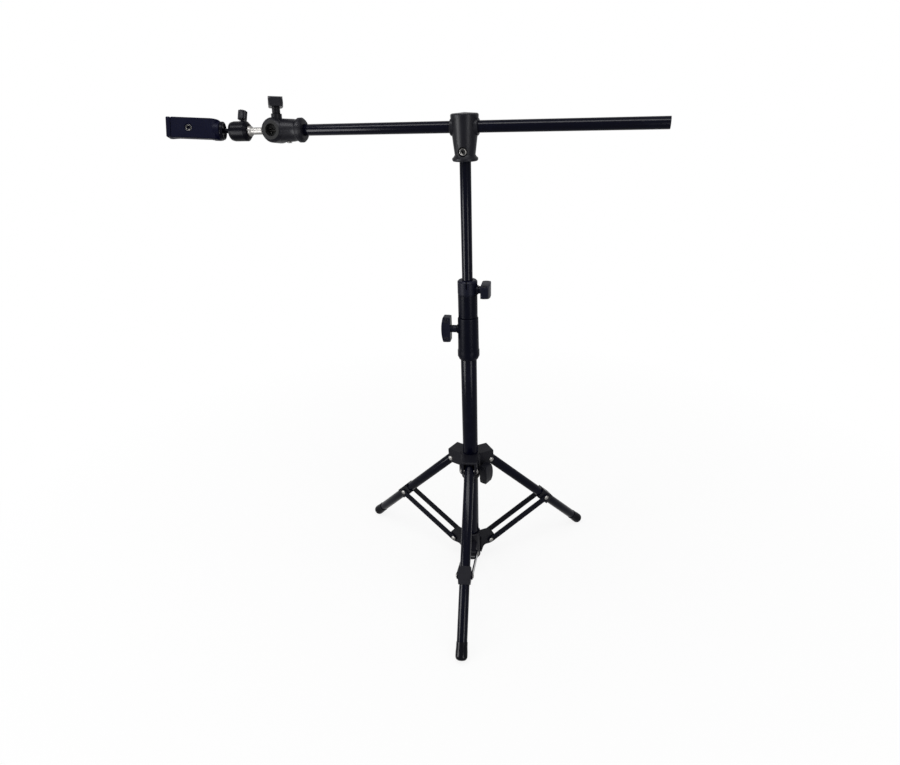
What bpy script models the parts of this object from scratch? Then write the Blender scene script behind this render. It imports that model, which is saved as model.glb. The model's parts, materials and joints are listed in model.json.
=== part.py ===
"""Phone tripod: a folding three-legged stand with a telescopic column, a T-shaped crossbar, and a
ball head with a sprung phone clamp on the crossbar's end.

Frame: +Z runs up the column, +X along the crossbar towards its open end, and the origin is the
middle of the column plug's lower face. The rubber feet reach a little lower than that face."""

import math

import bmesh
import bpy
from mathutils import Matrix, Vector

MM = 0.001

# Clearances
SEAT = 0.3 * MM  # between two pieces that sit against each other
RUN = 0.3 * MM  # round a piece that slides or turns in another
PIN_PLAY = 0.4 * MM  # round a rivet's shank

# Roundness
COLUMN_SIDES = 26
BAR_SIDES = 24
PIN_SIDES = 10
FOOT_SIDES = 20

# Column tubes
LOWER_TUBE_D = 25.4 * MM
LOWER_TUBE_WALL = 1.4 * MM
LOWER_TUBE_TOP = 442 * MM
MID_TUBE_D = 20.6 * MM
MID_TUBE_WALL = 1.2 * MM
MID_TUBE_BOTTOM = 34 * MM
MID_TUBE_TOP = 503 * MM
UPPER_TUBE_D = 16.0 * MM
UPPER_TUBE_WALL = 1.1 * MM
UPPER_TUBE_BOTTOM = 239 * MM
UPPER_TUBE_TOP = 723 * MM
GUIDE_FLANGE = 8 * MM
GUIDE_SPIGOT = 12 * MM

# Plug in the column's foot
PLUG_FLANGE = 2.6 * MM
PLUG_SPIGOT = 12 * MM

# Legs and their braces
LEG_TURN = math.radians(8.86)  # front leg, from -Y towards +X
LEG_COUNT = 3
LEG_D = 16.5 * MM
LEG_WALL = 1.1 * MM
LEG_SPREAD = math.radians(44.4)
LEG_OVERHANG = 8 * MM
PIVOT_R = 33.4 * MM  # leg and brace pivots, from the column's axis
BRACE_ON_LEG = 168 * MM
BRACE_LENGTH = 130.8 * MM
BRACE_PIVOT_Z = 34 * MM
STRAP_W = 12 * MM
STRAP_T = 2 * MM
BRACKET_W = 20.6 * MM
BRACKET_L = 28 * MM
BRACKET_DEPTH = 18.8 * MM
FOOT_DROP = 2 * MM  # feet below the plug's face
FOOT_D = 18.8 * MM
FOOT_L = 27 * MM
FOOT_END = 5.5 * MM
FOOT_ROUND = 6.5 * MM

# Rivets
RIVET_D = 4.6 * MM
RIVET_HEAD_D = 8.4 * MM
RIVET_HEAD_T = 1.6 * MM

# Sliding hub
HUB_GRIP_D = 31.2 * MM
HUB_RING_D = 39.6 * MM
HUB_SLEEVE_D = 36 * MM
HUB_GRIP_H = 9 * MM
HUB_RING_H = 15 * MM
HUB_BOTTOM_DROP = 31 * MM  # below the leg pivots
HUB_TOP_RISE = 18.6 * MM
EAR_GAP = 18 * MM
EAR_T = 4 * MM
POCKET_ROOF = 3.2 * MM
POCKET_BACK = 0.6 * MM
EAR_REACH = 4.2 * MM  # beyond the pivot

# Collar at the column's foot
COLLAR_D = 31 * MM
COLLAR_BOTTOM = 4 * MM
COLLAR_TOP = 60 * MM

# Column clamps
CLAMP_TURN = math.radians(6)  # the clamps' slots, from -Y towards +X
LOWER_CLAMP_D = 32.4 * MM
LOWER_CLAMP_RIM_D = 34.6 * MM
LOWER_CLAMP_BOTTOM = 404.5 * MM
LOWER_CLAMP_TOP = 473 * MM
LOWER_KNOB_DROP = 20 * MM
UPPER_CLAMP_D = 30 * MM
UPPER_CLAMP_TOP = 531 * MM
UPPER_KNOB_DROP = 15 * MM
CLAMP_SLOT = 1.8 * MM
CLAMP_SLOT_DEPTH = 11 * MM
CLAMP_CAP = 22 * MM
BOSS_D = 14 * MM

# Wing knobs
KNOB_LENGTH = 40 * MM
KNOB_WIDTH = 20 * MM
KNOB_DEPTH = 14 * MM
KNOB_CROWN = 2.5 * MM
KNOB_NECK_D = 11.6 * MM
KNOB_SCREW_D = 6 * MM
LOWER_KNOB_R = 27.1 * MM  # inner face of the wings, from the column's axis
UPPER_KNOB_R = 21.2 * MM
HUB_KNOB_R = 25.3 * MM
HUB_KNOB_LENGTH = 34 * MM  # short enough to turn between the lugs
LOWER_KNOB_ROLL = math.radians(3)
UPPER_KNOB_ROLL = math.radians(90)
HUB_KNOB_ROLL = math.radians(-1)
BOOM_KNOB_ROLL = math.radians(-58)

# T-head and crossbar
BAR_Z = UPPER_TUBE_TOP + 18 * MM
BAR_D = 15.4 * MM
BAR_WALL = 1.1 * MM
BAR_RIGHT = 262 * MM
BAR_LEFT = 270 * MM
T_BOTTOM = UPPER_TUBE_TOP - 25 * MM
T_SOCKET_D = 28.6 * MM
T_SOCKET_H = 22 * MM
T_BODY_D = 36.4 * MM
T_FLANGE_D = 35.8 * MM
T_CAP_D = 38 * MM
T_CAP_RISE = 17 * MM  # top above the bar's axis
T_SIDE_D = 22.5 * MM
T_SIDE_REACH = 19.4 * MM
T_BOLT_RISE = 12.5 * MM
T_BOLT_D = 10 * MM
T_BOLT_RECESS_D = 13 * MM
T_BOLT_RECESS = 3.4 * MM

# Boom head on the bar's left end
BOOM_HOLE_X = -281.3 * MM
BOOM_DRUM_D = 33.8 * MM
BOOM_DRUM_W = 34 * MM
BOOM_HOLE_D = 17.2 * MM
BOOM_END_X = -236 * MM
BOOM_WAIST_D = 28.8 * MM
BOOM_FLARE_D = 33.2 * MM
BOOM_BOSS_D = 15.2 * MM
BOOM_BOSS_RISE = 22.3 * MM
BOOM_KNOB_RISE = 30.9 * MM
BOOM_ROLL = math.radians(-7)
BOOM_SCREW_X = -262 * MM

# Spigot between boom head and ball head
SPIGOT_D = 14.4 * MM
SPIGOT_WAIST_D = 9.8 * MM
SPIGOT_LEFT = -326 * MM
SPIGOT_TAIL_D = 8.6 * MM
SPIGOT_TAIL = 7.6 * MM
SPIGOT_SCREW_D = 4.4 * MM  # its end shows in the cross hole
SPIGOT_SCREW = 7.9 * MM
SPIGOT_STUD_D = 6.2 * MM
SPIGOT_STUD = 4.4 * MM

# Ball head
BALL_X = -345 * MM
BALL_D = 16.8 * MM
BALL_NECK_D = 6.4 * MM
BALL_SWING = math.radians(35)
BALL_PAN_REST = math.radians(17)
BALL_TILT_REST = math.radians(4)
CLAMP_ROLL_REST = math.radians(-16.5)  # the clamp's top leans away from -Y
HOUSING_ROLL = math.radians(-25)
HOUSING_D = 27.6 * MM
HOUSING_LEFT = -354 * MM
HOUSING_RIGHT = -326.3 * MM
THUMB_X = -339.6 * MM
THUMB_HEAD_D = 13.6 * MM
THUMB_HEAD_H = 13 * MM
THUMB_NECK_D = 4.4 * MM
THUMB_RISE = 16.6 * MM
THUMB_FLUTES = 10
PLATFORM_D = 25.2 * MM
PLATFORM_T = 5 * MM
PLATFORM_RIM = 2 * MM
PLATFORM_DISH = 2.2 * MM
PLATFORM_REACH = 19.8 * MM  # its near face, from the ball's centre
STUD_D = 6.2 * MM
STUD_L = 8 * MM

# Phone clamp, along the ball's stem
PHONE_LENGTH = 75 * MM
PHONE_H = 28.2 * MM
PHONE_TIP_H = 18.6 * MM  # the jaws narrow towards their tips
PHONE_BACK = 13 * MM  # back face, from the stem's axis
PHONE_PLATE = 11 * MM
PHONE_JAW = 31 * MM  # jaw, from back face to tip
PHONE_WALL = 10 * MM
PHONE_MOVING_WALL = 6.5 * MM
PHONE_HOOK = 3 * MM
PHONE_PAD = 3.6 * MM
PHONE_EDGE = 1 * MM
PHONE_SHOULDER = 12 * MM  # the bend from the back to the platform's end
PHONE_BOSS = 0.8 * MM
PHONE_CHANNEL_W = 20 * MM
PHONE_CHANNEL_T = 6.4 * MM
PHONE_CHANNEL_L = 55 * MM
PHONE_SLIDER_L = 36 * MM
PHONE_TRAVEL = 25 * MM
INSERT_AT = 42.5 * MM
INSERT_D = 9 * MM
INSERT_BORE = 5.4 * MM
INSERT_RECESS_D = 12 * MM
SPRING_D = 5 * MM
SPRING_WIRE = 0.8 * MM
SPRING_TURNS = 9


def clear_scene():
    for old in list(bpy.data.objects):
        bpy.data.objects.remove(old, do_unlink=True)


def material(name, colour, roughness, metallic=0.0):
    made = bpy.data.materials.new(name)
    made.use_nodes = True
    shader = made.node_tree.nodes["Principled BSDF"]
    shader.inputs["Base Color"].default_value = (*colour, 1)
    shader.inputs["Roughness"].default_value = roughness
    shader.inputs["Metallic"].default_value = metallic
    made.diffuse_color = (*colour, 1)
    return made


def paint(name):
    return material(name, (0.008, 0.009, 0.014), 0.25)


def moulding(name):
    return material(name, (0.022, 0.022, 0.026), 0.5)


def rubber(name):
    return material(name, (0.012, 0.012, 0.013), 0.8)


def steel(name):
    return material(name, (0.6, 0.6, 0.58), 0.25, 1.0)


# Outlines


def arc(centre, radius, start, end, steps):
    """Points of an arc, with both ends. Angles are in degrees."""
    found = []
    for i in range(steps + 1):
        angle = math.radians(start + (end - start) * i / steps)
        found.append((centre[0] + radius * math.cos(angle), centre[1] + radius * math.sin(angle)))
    return found


def filleted(corners, steps=3):
    """An outline from (x, y, fillet radius) corners."""
    found = []
    count = len(corners)
    for i, (x, y, radius) in enumerate(corners):
        here = Vector((x, y))
        if radius <= 0:
            found.append((x, y))
            continue
        back = (Vector(corners[i - 1][:2]) - here).normalized()
        ahead = (Vector(corners[(i + 1) % count][:2]) - here).normalized()
        half = back.angle(ahead) / 2
        centre = here + (back + ahead).normalized() * radius / math.sin(half)
        first = here + back * radius / math.tan(half) - centre
        last = here + ahead * radius / math.tan(half) - centre
        sweep = math.atan2(first.x * last.y - first.y * last.x, first.dot(last))
        for step in range(steps + 1):
            turned_by = Matrix.Rotation(sweep * step / steps, 2)
            found.append(tuple(centre + turned_by @ first))
    return found


def inset(corners, by):
    """The same corners, moved in from the outline's edges. Their outer rounding shrinks with them."""
    count = len(corners)
    turns = [a[0] * b[1] - b[0] * a[1] for a, b in zip(corners, corners[1:] + corners[:1])]
    side = math.copysign(1, sum(turns))
    found = []
    for i, (x, y, radius) in enumerate(corners):
        here = Vector((x, y))
        come = (here - Vector(corners[i - 1][:2])).normalized()
        leave = (Vector(corners[(i + 1) % count][:2]) - here).normalized()
        first = Vector((-come.y, come.x)) * side
        second = Vector((-leave.y, leave.x)) * side
        place = here + (first + second) * by / (1 + first.dot(second))
        bend = (come.x * leave.y - come.y * leave.x) * side
        if radius > 0:
            radius = max(radius - math.copysign(by, bend), 1e-6 * MM)
        found.append((place.x, place.y, radius))
    return found


def stadium(length, width, steps=8):
    """A flat bar's outline: round ends at the origin and at length along the second axis."""
    top = arc((0, length), width / 2, 0, 180, steps)
    return top + arc((0, 0), width / 2, 180, 360, steps)


# Meshes


def finished(shape, name):
    bmesh.ops.remove_doubles(shape, verts=shape.verts, dist=1e-7)
    bmesh.ops.recalc_face_normals(shape, faces=shape.faces)
    mesh = bpy.data.meshes.new(name)
    shape.to_mesh(mesh)
    shape.free()
    return mesh


AXES = {
    "Z": Matrix(),
    "X": Matrix.Rotation(math.radians(90), 4, "Y"),
    "-X": Matrix.Rotation(math.radians(-90), 4, "Y"),
    "Y": Matrix.Rotation(math.radians(-90), 4, "X"),
    "-Y": Matrix.Rotation(math.radians(90), 4, "X"),
}


def turned(profile, sides=COLUMN_SIDES, axis="Z", closed=False):
    """A (radius, height) profile spun round an axis. An open profile starts and ends on the axis."""
    shape = bmesh.new()
    verts = [shape.verts.new((radius, 0, height)) for radius, height in profile]
    pairs = list(zip(verts, verts[1:]))
    if closed:
        pairs.append((verts[-1], verts[0]))
    edges = [shape.edges.new(pair) for pair in pairs]
    bmesh.ops.spin(
        shape,
        geom=verts + edges,
        cent=(0, 0, 0),
        axis=(0, 0, 1),
        angle=math.tau,
        steps=sides,
        use_merge=True,
    )
    mesh = finished(shape, "turned")
    mesh.transform(AXES[axis])
    return mesh


def rod(radius, low, high, sides=PIN_SIDES, axis="Z"):
    return turned([(0, low), (radius, low), (radius, high), (0, high)], sides, axis)


def pipe(inner, outer, low, high, sides=COLUMN_SIDES, axis="Z"):
    loop = [(outer, low), (outer, high), (inner, high), (inner, low)]
    return turned(loop, sides, axis, closed=True)


def prism(outline, low, high, plane="XY"):
    """A flat outline drawn in a plane and extruded along the third axis."""
    shape = bmesh.new()
    verts = [shape.verts.new((x, y, low)) for x, y in outline]
    face = shape.faces.new(verts)
    grown = bmesh.ops.extrude_face_region(shape, geom=[face])
    moved = [item for item in grown["geom"] if isinstance(item, bmesh.types.BMVert)]
    bmesh.ops.translate(shape, verts=moved, vec=(0, 0, high - low))
    return laid(finished(shape, "prism"), plane)


def laid(mesh, plane):
    """A mesh drawn in X-Y, laid in another plane."""
    if plane == "XZ":
        mesh.transform(Matrix(((1, 0, 0, 0), (0, 0, 1, 0), (0, 1, 0, 0), (0, 0, 0, 1))))
        mesh.flip_normals()
    if plane == "YZ":
        mesh.transform(Matrix(((0, 0, 1, 0), (1, 0, 0, 0), (0, 1, 0, 0), (0, 0, 0, 1))))
    return mesh


def slab(corners, low, high, edge, plane="XY", steps=3):
    """A prism from (x, y, fillet radius) corners, whose edges at both ends are chamfered."""
    full = filleted(corners, steps)
    small = filleted(inset(corners, edge), steps)
    shape = bmesh.new()
    levels = ((small, low), (full, low + edge), (full, high - edge), (small, high))
    rings = [[shape.verts.new((x, y, z)) for x, y in outline] for outline, z in levels]
    shape.faces.new(rings[0])
    shape.faces.new(rings[-1])
    for below, above in zip(rings, rings[1:]):
        for i in range(len(below)):
            shape.faces.new((below[i - 1], below[i], above[i], above[i - 1]))
    return laid(finished(shape, "slab"), plane)


def block(x, y, z):
    """A box from three (low, high) pairs."""
    corners = [(x[0], y[0]), (x[1], y[0]), (x[1], y[1]), (x[0], y[1])]
    return prism(corners, z[0], z[1])


def moved(mesh, by=(0, 0, 0), turn=None):
    """The same mesh, first turned by a matrix and then shifted."""
    if turn is not None:
        mesh.transform(turn)
    mesh.transform(Matrix.Translation(by))
    return mesh


def temporary(mesh, group=None):
    made = bpy.data.objects.new("temporary", mesh)
    (group or bpy.context.scene.collection).objects.link(made)
    return made


def evaluated(body, helpers=()):
    """The mesh of an object with its modifiers, which then leaves the scene with its helpers."""
    bpy.context.view_layer.update()
    graph = bpy.context.evaluated_depsgraph_get()
    result = bpy.data.meshes.new_from_object(body.evaluated_get(graph))
    for old in (body, *helpers):
        bpy.data.objects.remove(old, do_unlink=True)
    return result


def combined(mesh, others, operation):
    """One exact Boolean of a mesh with all the others together."""
    group = bpy.data.collections.new("helpers")
    bpy.context.scene.collection.children.link(group)
    body = temporary(mesh)
    helpers = [temporary(other, group) for other in others]
    for helper in helpers:
        helper.hide_render = True
        helper.display_type = "WIRE"
    step = body.modifiers.new("combine", "BOOLEAN")
    step.operation = operation
    step.operand_type = "COLLECTION"
    step.collection = group
    step.solver = "EXACT"
    step.use_hole_tolerant = True
    result = evaluated(body, helpers)
    bpy.data.collections.remove(group)
    return result


def joined(mesh, *others):
    return combined(mesh, others, "UNION")


def cut(mesh, *others):
    return combined(mesh, others, "DIFFERENCE")


def bevelled(mesh, width, segments=2, angle=40):
    body = temporary(mesh)
    step = body.modifiers.new("edges", "BEVEL")
    step.width = width
    step.segments = segments
    step.limit_method = "ANGLE"
    step.angle_limit = math.radians(angle)
    return evaluated(body)


# Placing


def frame(name, parent=None, place=Matrix()):
    """An empty that carries the pieces that move together."""
    made = bpy.data.objects.new(name, None)
    made.empty_display_size = 0.02
    bpy.context.scene.collection.objects.link(made)
    made.parent = parent
    made.matrix_local = place
    return made


def piece(name, mesh, finish, parent=None, place=Matrix()):
    mesh.name = name
    mesh.materials.clear()
    mesh.materials.append(finish)
    mesh.shade_smooth()
    mesh.set_sharp_from_angle(angle=math.radians(32))
    made = bpy.data.objects.new(name, mesh)
    bpy.context.scene.collection.objects.link(made)
    made.parent = parent
    made.matrix_local = place
    return made


def heading(turn):
    """A turn about Z that carries -Y to the direction at this angle from -Y towards +X."""
    return Matrix.Rotation(turn, 4, "Z")


def outward(turn):
    """A frame whose +X points out from the column at this angle from -Y towards +X."""
    return Matrix.Rotation(turn - math.radians(90), 4, "Z")


# Shared pieces


def rivet(reach):
    """A rivet along X through everything between -reach and +reach, with a domed head on each end."""
    shank = RIVET_D / 2
    head = RIVET_HEAD_D / 2
    start = reach + SEAT
    top = start + RIVET_HEAD_T
    half = [(shank, start), (head, start), (head * 0.86, start + RIVET_HEAD_T * 0.6), (0, top)]
    mirrored = [(radius, -height) for radius, height in reversed(half)]
    return turned(mirrored + half, PIN_SIDES, "X")


def rivet_stub(inner, reach):
    """Half a rivet along +X: its shank starts at inner, and its head lies on the face at reach."""
    shank = RIVET_D / 2
    head = RIVET_HEAD_D / 2
    start = reach + SEAT
    profile = [
        (0, inner),
        (shank, inner),
        (shank, start),
        (head, start),
        (head * 0.86, start + RIVET_HEAD_T * 0.6),
        (0, start + RIVET_HEAD_T),
    ]
    return turned(profile, PIN_SIDES, "X")


def wing_knob(tip, shoulder, wings, length=KNOB_LENGTH):
    """A wing knob along +X, with its long side along Z: screw tip, shoulder and wings are X values."""
    half = length / 2
    ends = KNOB_DEPTH - KNOB_CROWN
    crown_radius = (half**2 + KNOB_CROWN**2) / (2 * KNOB_CROWN)
    spread = math.degrees(math.asin(half / crown_radius))
    centre = (wings + KNOB_DEPTH - crown_radius, 0)
    outer = arc(centre, crown_radius, -spread * 0.94, spread * 0.94, 6)
    side = [(wings + ends * 0.3, -half), (wings + ends * 0.93, -half)]
    outline = [(wings, -half * 0.96), *side, *outer]
    outline += [(x, -z) for x, z in reversed(side)]
    outline += [(wings, half * 0.96)]
    head = prism(outline, -KNOB_WIDTH / 2, KNOB_WIDTH / 2, "XZ")
    waist = filleted(
        [
            (-KNOB_WIDTH / 2, -half * 0.5, 0),
            (-KNOB_WIDTH * 0.41, -half * 1.01, 1.5 * MM),
            (KNOB_WIDTH * 0.41, -half * 1.01, 1.5 * MM),
            (KNOB_WIDTH / 2, -half * 0.5, 0),
            (KNOB_WIDTH / 2, half * 0.5, 0),
            (KNOB_WIDTH * 0.41, half * 1.01, 1.5 * MM),
            (-KNOB_WIDTH * 0.41, half * 1.01, 1.5 * MM),
            (-KNOB_WIDTH / 2, half * 0.5, 0),
        ],
        2,
    )
    plan = prism(waist, wings - MM, wings + KNOB_DEPTH + MM, "YZ")
    head = bevelled(combined(head, [plan], "INTERSECT"), 0.8 * MM, 1, 50)
    screw = KNOB_SCREW_D / 2
    neck = KNOB_NECK_D / 2
    stem = turned(
        [
            (0, tip),
            (screw - 0.8 * MM, tip),
            (screw, tip + 0.8 * MM),
            (screw, shoulder),
            (neck - 0.6 * MM, shoulder),
            (neck, shoulder + 0.6 * MM),
            (neck, wings + 2 * MM),
            (0, wings + 2 * MM),
        ],
        16,
        "X",
    )
    return joined(head, stem)


# Column


def build_lower_column(root):
    outer = LOWER_TUBE_D / 2
    inner = outer - LOWER_TUBE_WALL
    tube = pipe(inner, outer, PLUG_FLANGE + SEAT, LOWER_TUBE_TOP)
    piece("lower_tube", tube, paint("lower_tube_paint"), root)

    spigot = inner - SEAT
    top = PLUG_FLANGE + SEAT + PLUG_SPIGOT
    plug = turned(
        [
            (0, 0),
            (outer - 0.8 * MM, 0),
            (outer, 0.8 * MM),
            (outer, PLUG_FLANGE),
            (spigot, PLUG_FLANGE),
            (spigot, top - MM),
            (spigot - MM, top),
            (0, top),
        ]
    )
    piece("column_plug", plug, rubber("column_plug_rubber"), root)


def lug_outline():
    """The collar's lug in its leg's plane: (distance from the axis, height)."""
    z = BRACE_PIVOT_Z
    r = PIVOT_R
    return filleted(
        [
            (COLLAR_D / 2 - 1.6 * MM, z + 11 * MM, 0),
            (r + 8.6 * MM, z + 10 * MM, 3.5 * MM),
            (r + 9.6 * MM, z + 2 * MM, 4 * MM),
            (r + 1 * MM, z - 8.5 * MM, 4 * MM),
            (r - 13.5 * MM, z - 8 * MM, 6 * MM),
            (COLLAR_D / 2 - 1.6 * MM, z - 24 * MM, 0),
        ]
    )


def build_lower_collar(root):
    outer = COLLAR_D / 2
    bore = LOWER_TUBE_D / 2 + SEAT
    body = turned(
        [
            (0, COLLAR_BOTTOM),
            (outer - 1.2 * MM, COLLAR_BOTTOM),
            (outer, COLLAR_BOTTOM + 1.2 * MM),
            (outer, COLLAR_TOP - 1.2 * MM),
            (outer - 1.2 * MM, COLLAR_TOP),
            (0, COLLAR_TOP),
        ]
    )
    half = BRACKET_W / 2
    outline = [(-r, z) for r, z in lug_outline()]
    lugs = []
    for turn in leg_turns():
        lug = prism(outline, -half, half, "YZ")
        lugs.append(moved(lug, turn=heading(turn)))
    body = joined(body, *lugs)
    holes = [rod(bore, COLLAR_BOTTOM - 5 * MM, COLLAR_TOP + 5 * MM, COLUMN_SIDES)]
    for turn in leg_turns():
        hole = rod(RIVET_D / 2 + PIN_PLAY, -half - MM, half + MM, PIN_SIDES, "X")
        moved(hole, (0, -PIVOT_R, BRACE_PIVOT_Z))
        holes.append(moved(hole, turn=heading(turn)))
    piece("lower_collar", cut(body, *holes), moulding("lower_collar_plastic"), root)


def leg_turns():
    return [LEG_TURN + math.tau * i / LEG_COUNT for i in range(LEG_COUNT)]


def clamp_body(outline, bores, boss_z, boss_reach, slot_top):
    """A column clamp: a turned housing with stepped bores, a knob boss and a slot across its top."""
    body = turned(outline)
    boss = rod(BOSS_D / 2, 4 * MM, boss_reach, 20, "X")
    body = joined(body, moved(boss, (0, 0, boss_z)))
    tools = [rod(radius, low, high, COLUMN_SIDES) for radius, low, high in bores]
    hole = rod(KNOB_SCREW_D / 2 + RUN, 4 * MM, boss_reach + MM, 16, "X")
    tools.append(moved(hole, (0, 0, boss_z)))
    if slot_top:
        # The slot is a quarter turn from the boss.
        slot = block(
            (-CLAMP_SLOT / 2, CLAMP_SLOT / 2),
            (-boss_reach * 1.5, 0),
            (slot_top - CLAMP_SLOT_DEPTH, slot_top + MM),
        )
        tools.append(slot)
    return cut(body, *tools)


def build_lower_clamp(root):
    low = LOWER_CLAMP_BOTTOM
    top = LOWER_CLAMP_TOP
    rim = LOWER_CLAMP_RIM_D / 2
    outer = LOWER_CLAMP_D / 2
    outline = [
        (0, low),
        (rim - 2.2 * MM, low),
        (rim, low + 5 * MM),
        (rim, low + 14 * MM),
        (outer + 0.3 * MM, low + 15.5 * MM),
        (outer - 0.2 * MM, top - 2 * MM),
        (outer - 1.4 * MM, top),
        (0, top),
    ]
    step = LOWER_TUBE_TOP + SEAT
    bores = [
        (LOWER_TUBE_D / 2 + SEAT, low - MM, step),
        (MID_TUBE_D / 2 + RUN, step - MM, top + MM),
    ]
    knob_z = top - LOWER_KNOB_DROP
    body = clamp_body(outline, bores, knob_z, outer + 1.2 * MM, None)
    place = outward(CLAMP_TURN - math.radians(90))
    piece("lower_clamp", body, moulding("lower_clamp_plastic"), root, place)

    tip = MID_TUBE_D / 2 + RUN
    knob = wing_knob(tip, outer + 1.2 * MM + SEAT, LOWER_KNOB_R)
    centre = place @ Matrix.Translation((0, 0, knob_z)) @ Matrix.Rotation(LOWER_KNOB_ROLL, 4, "X")
    piece("lower_clamp_knob", knob, moulding("lower_clamp_knob_plastic"), root, centre)


def build_mid_section(mid):
    outer = MID_TUBE_D / 2
    inner = outer - MID_TUBE_WALL
    tube = pipe(inner, outer, MID_TUBE_BOTTOM, MID_TUBE_TOP)
    piece("mid_tube", tube, paint("mid_tube_paint"), mid)
    bush = guide(inner - SEAT, LOWER_TUBE_D / 2 - LOWER_TUBE_WALL - RUN, MID_TUBE_BOTTOM)
    piece("mid_tube_guide", bush, moulding("mid_tube_guide_plastic"), mid)

    low = LOWER_CLAMP_TOP + SEAT
    top = UPPER_CLAMP_TOP
    radius = UPPER_CLAMP_D / 2
    seam = top - CLAMP_CAP
    outline = [
        (0, low),
        (radius - 0.8 * MM, low),
        (radius - 0.1 * MM, low + MM),
        (radius - 0.1 * MM, seam),
        (radius - 0.9 * MM, seam + 0.5 * MM),
        (radius - 0.9 * MM, seam + 1.2 * MM),
        (radius + 0.1 * MM, seam + 1.8 * MM),
        (radius + 0.1 * MM, top - 1.9 * MM),
        (radius - 1.7 * MM, top),
        (0, top),
    ]
    step = MID_TUBE_TOP + SEAT
    bores = [
        (outer + SEAT, low - MM, step),
        (UPPER_TUBE_D / 2 + RUN, step - MM, top + MM),
    ]
    knob_z = top - UPPER_KNOB_DROP
    reach = radius + 1.4 * MM
    body = clamp_body(outline, bores, knob_z, reach, top)
    place = outward(CLAMP_TURN + math.radians(90))
    piece("upper_clamp", body, moulding("upper_clamp_plastic"), mid, place)

    knob = wing_knob(UPPER_TUBE_D / 2 + RUN, reach + SEAT, UPPER_KNOB_R)
    centre = place @ Matrix.Translation((0, 0, knob_z)) @ Matrix.Rotation(UPPER_KNOB_ROLL, 4, "X")
    piece("upper_clamp_knob", knob, moulding("upper_clamp_knob_plastic"), mid, centre)


def guide(spigot, flange, tube_end):
    """A plug under a sliding tube, whose flange runs in the tube round it."""
    low = tube_end - SEAT - GUIDE_FLANGE
    return turned(
        [
            (0, low),
            (flange - 0.6 * MM, low),
            (flange, low + 0.6 * MM),
            (flange, tube_end - SEAT),
            (spigot, tube_end - SEAT),
            (spigot, tube_end + GUIDE_SPIGOT),
            (0, tube_end + GUIDE_SPIGOT),
        ]
    )


def build_upper_section(upper):
    outer = UPPER_TUBE_D / 2
    inner = outer - UPPER_TUBE_WALL
    tube = pipe(inner, outer, UPPER_TUBE_BOTTOM, UPPER_TUBE_TOP, BAR_SIDES)
    piece("upper_tube", tube, paint("upper_tube_paint"), upper)
    bush = guide(inner - SEAT, MID_TUBE_D / 2 - MID_TUBE_WALL - RUN, UPPER_TUBE_BOTTOM)
    piece("upper_tube_guide", bush, moulding("upper_tube_guide_plastic"), upper)


# Hub, legs and braces


def hub_height():
    """The leg pivots' height, where leg and brace meet at their spread."""
    out = BRACE_ON_LEG * math.sin(LEG_SPREAD)
    up = math.sqrt(BRACE_LENGTH**2 - out**2)
    return BRACE_PIVOT_Z + up + BRACE_ON_LEG * math.cos(LEG_SPREAD)


def brace_spread():
    return math.asin(BRACE_ON_LEG * math.sin(LEG_SPREAD) / BRACE_LENGTH)


def lug_corners():
    """One hub lug in its leg's plane, from the leg pivot: (distance from the axis, height, rounding)."""
    reach = PIVOT_R + EAR_REACH
    root = HUB_SLEEVE_D / 2 - 6 * MM
    return [
        (root, -7.5 * MM, 0),
        (PIVOT_R - 1 * MM, -7.5 * MM, 4 * MM),
        (reach - 0.4 * MM, -3 * MM, 3 * MM),
        (reach, 5 * MM, 0),
        (reach, HUB_TOP_RISE, 1.2 * MM),
        (root, HUB_TOP_RISE, 0),
    ]


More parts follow.
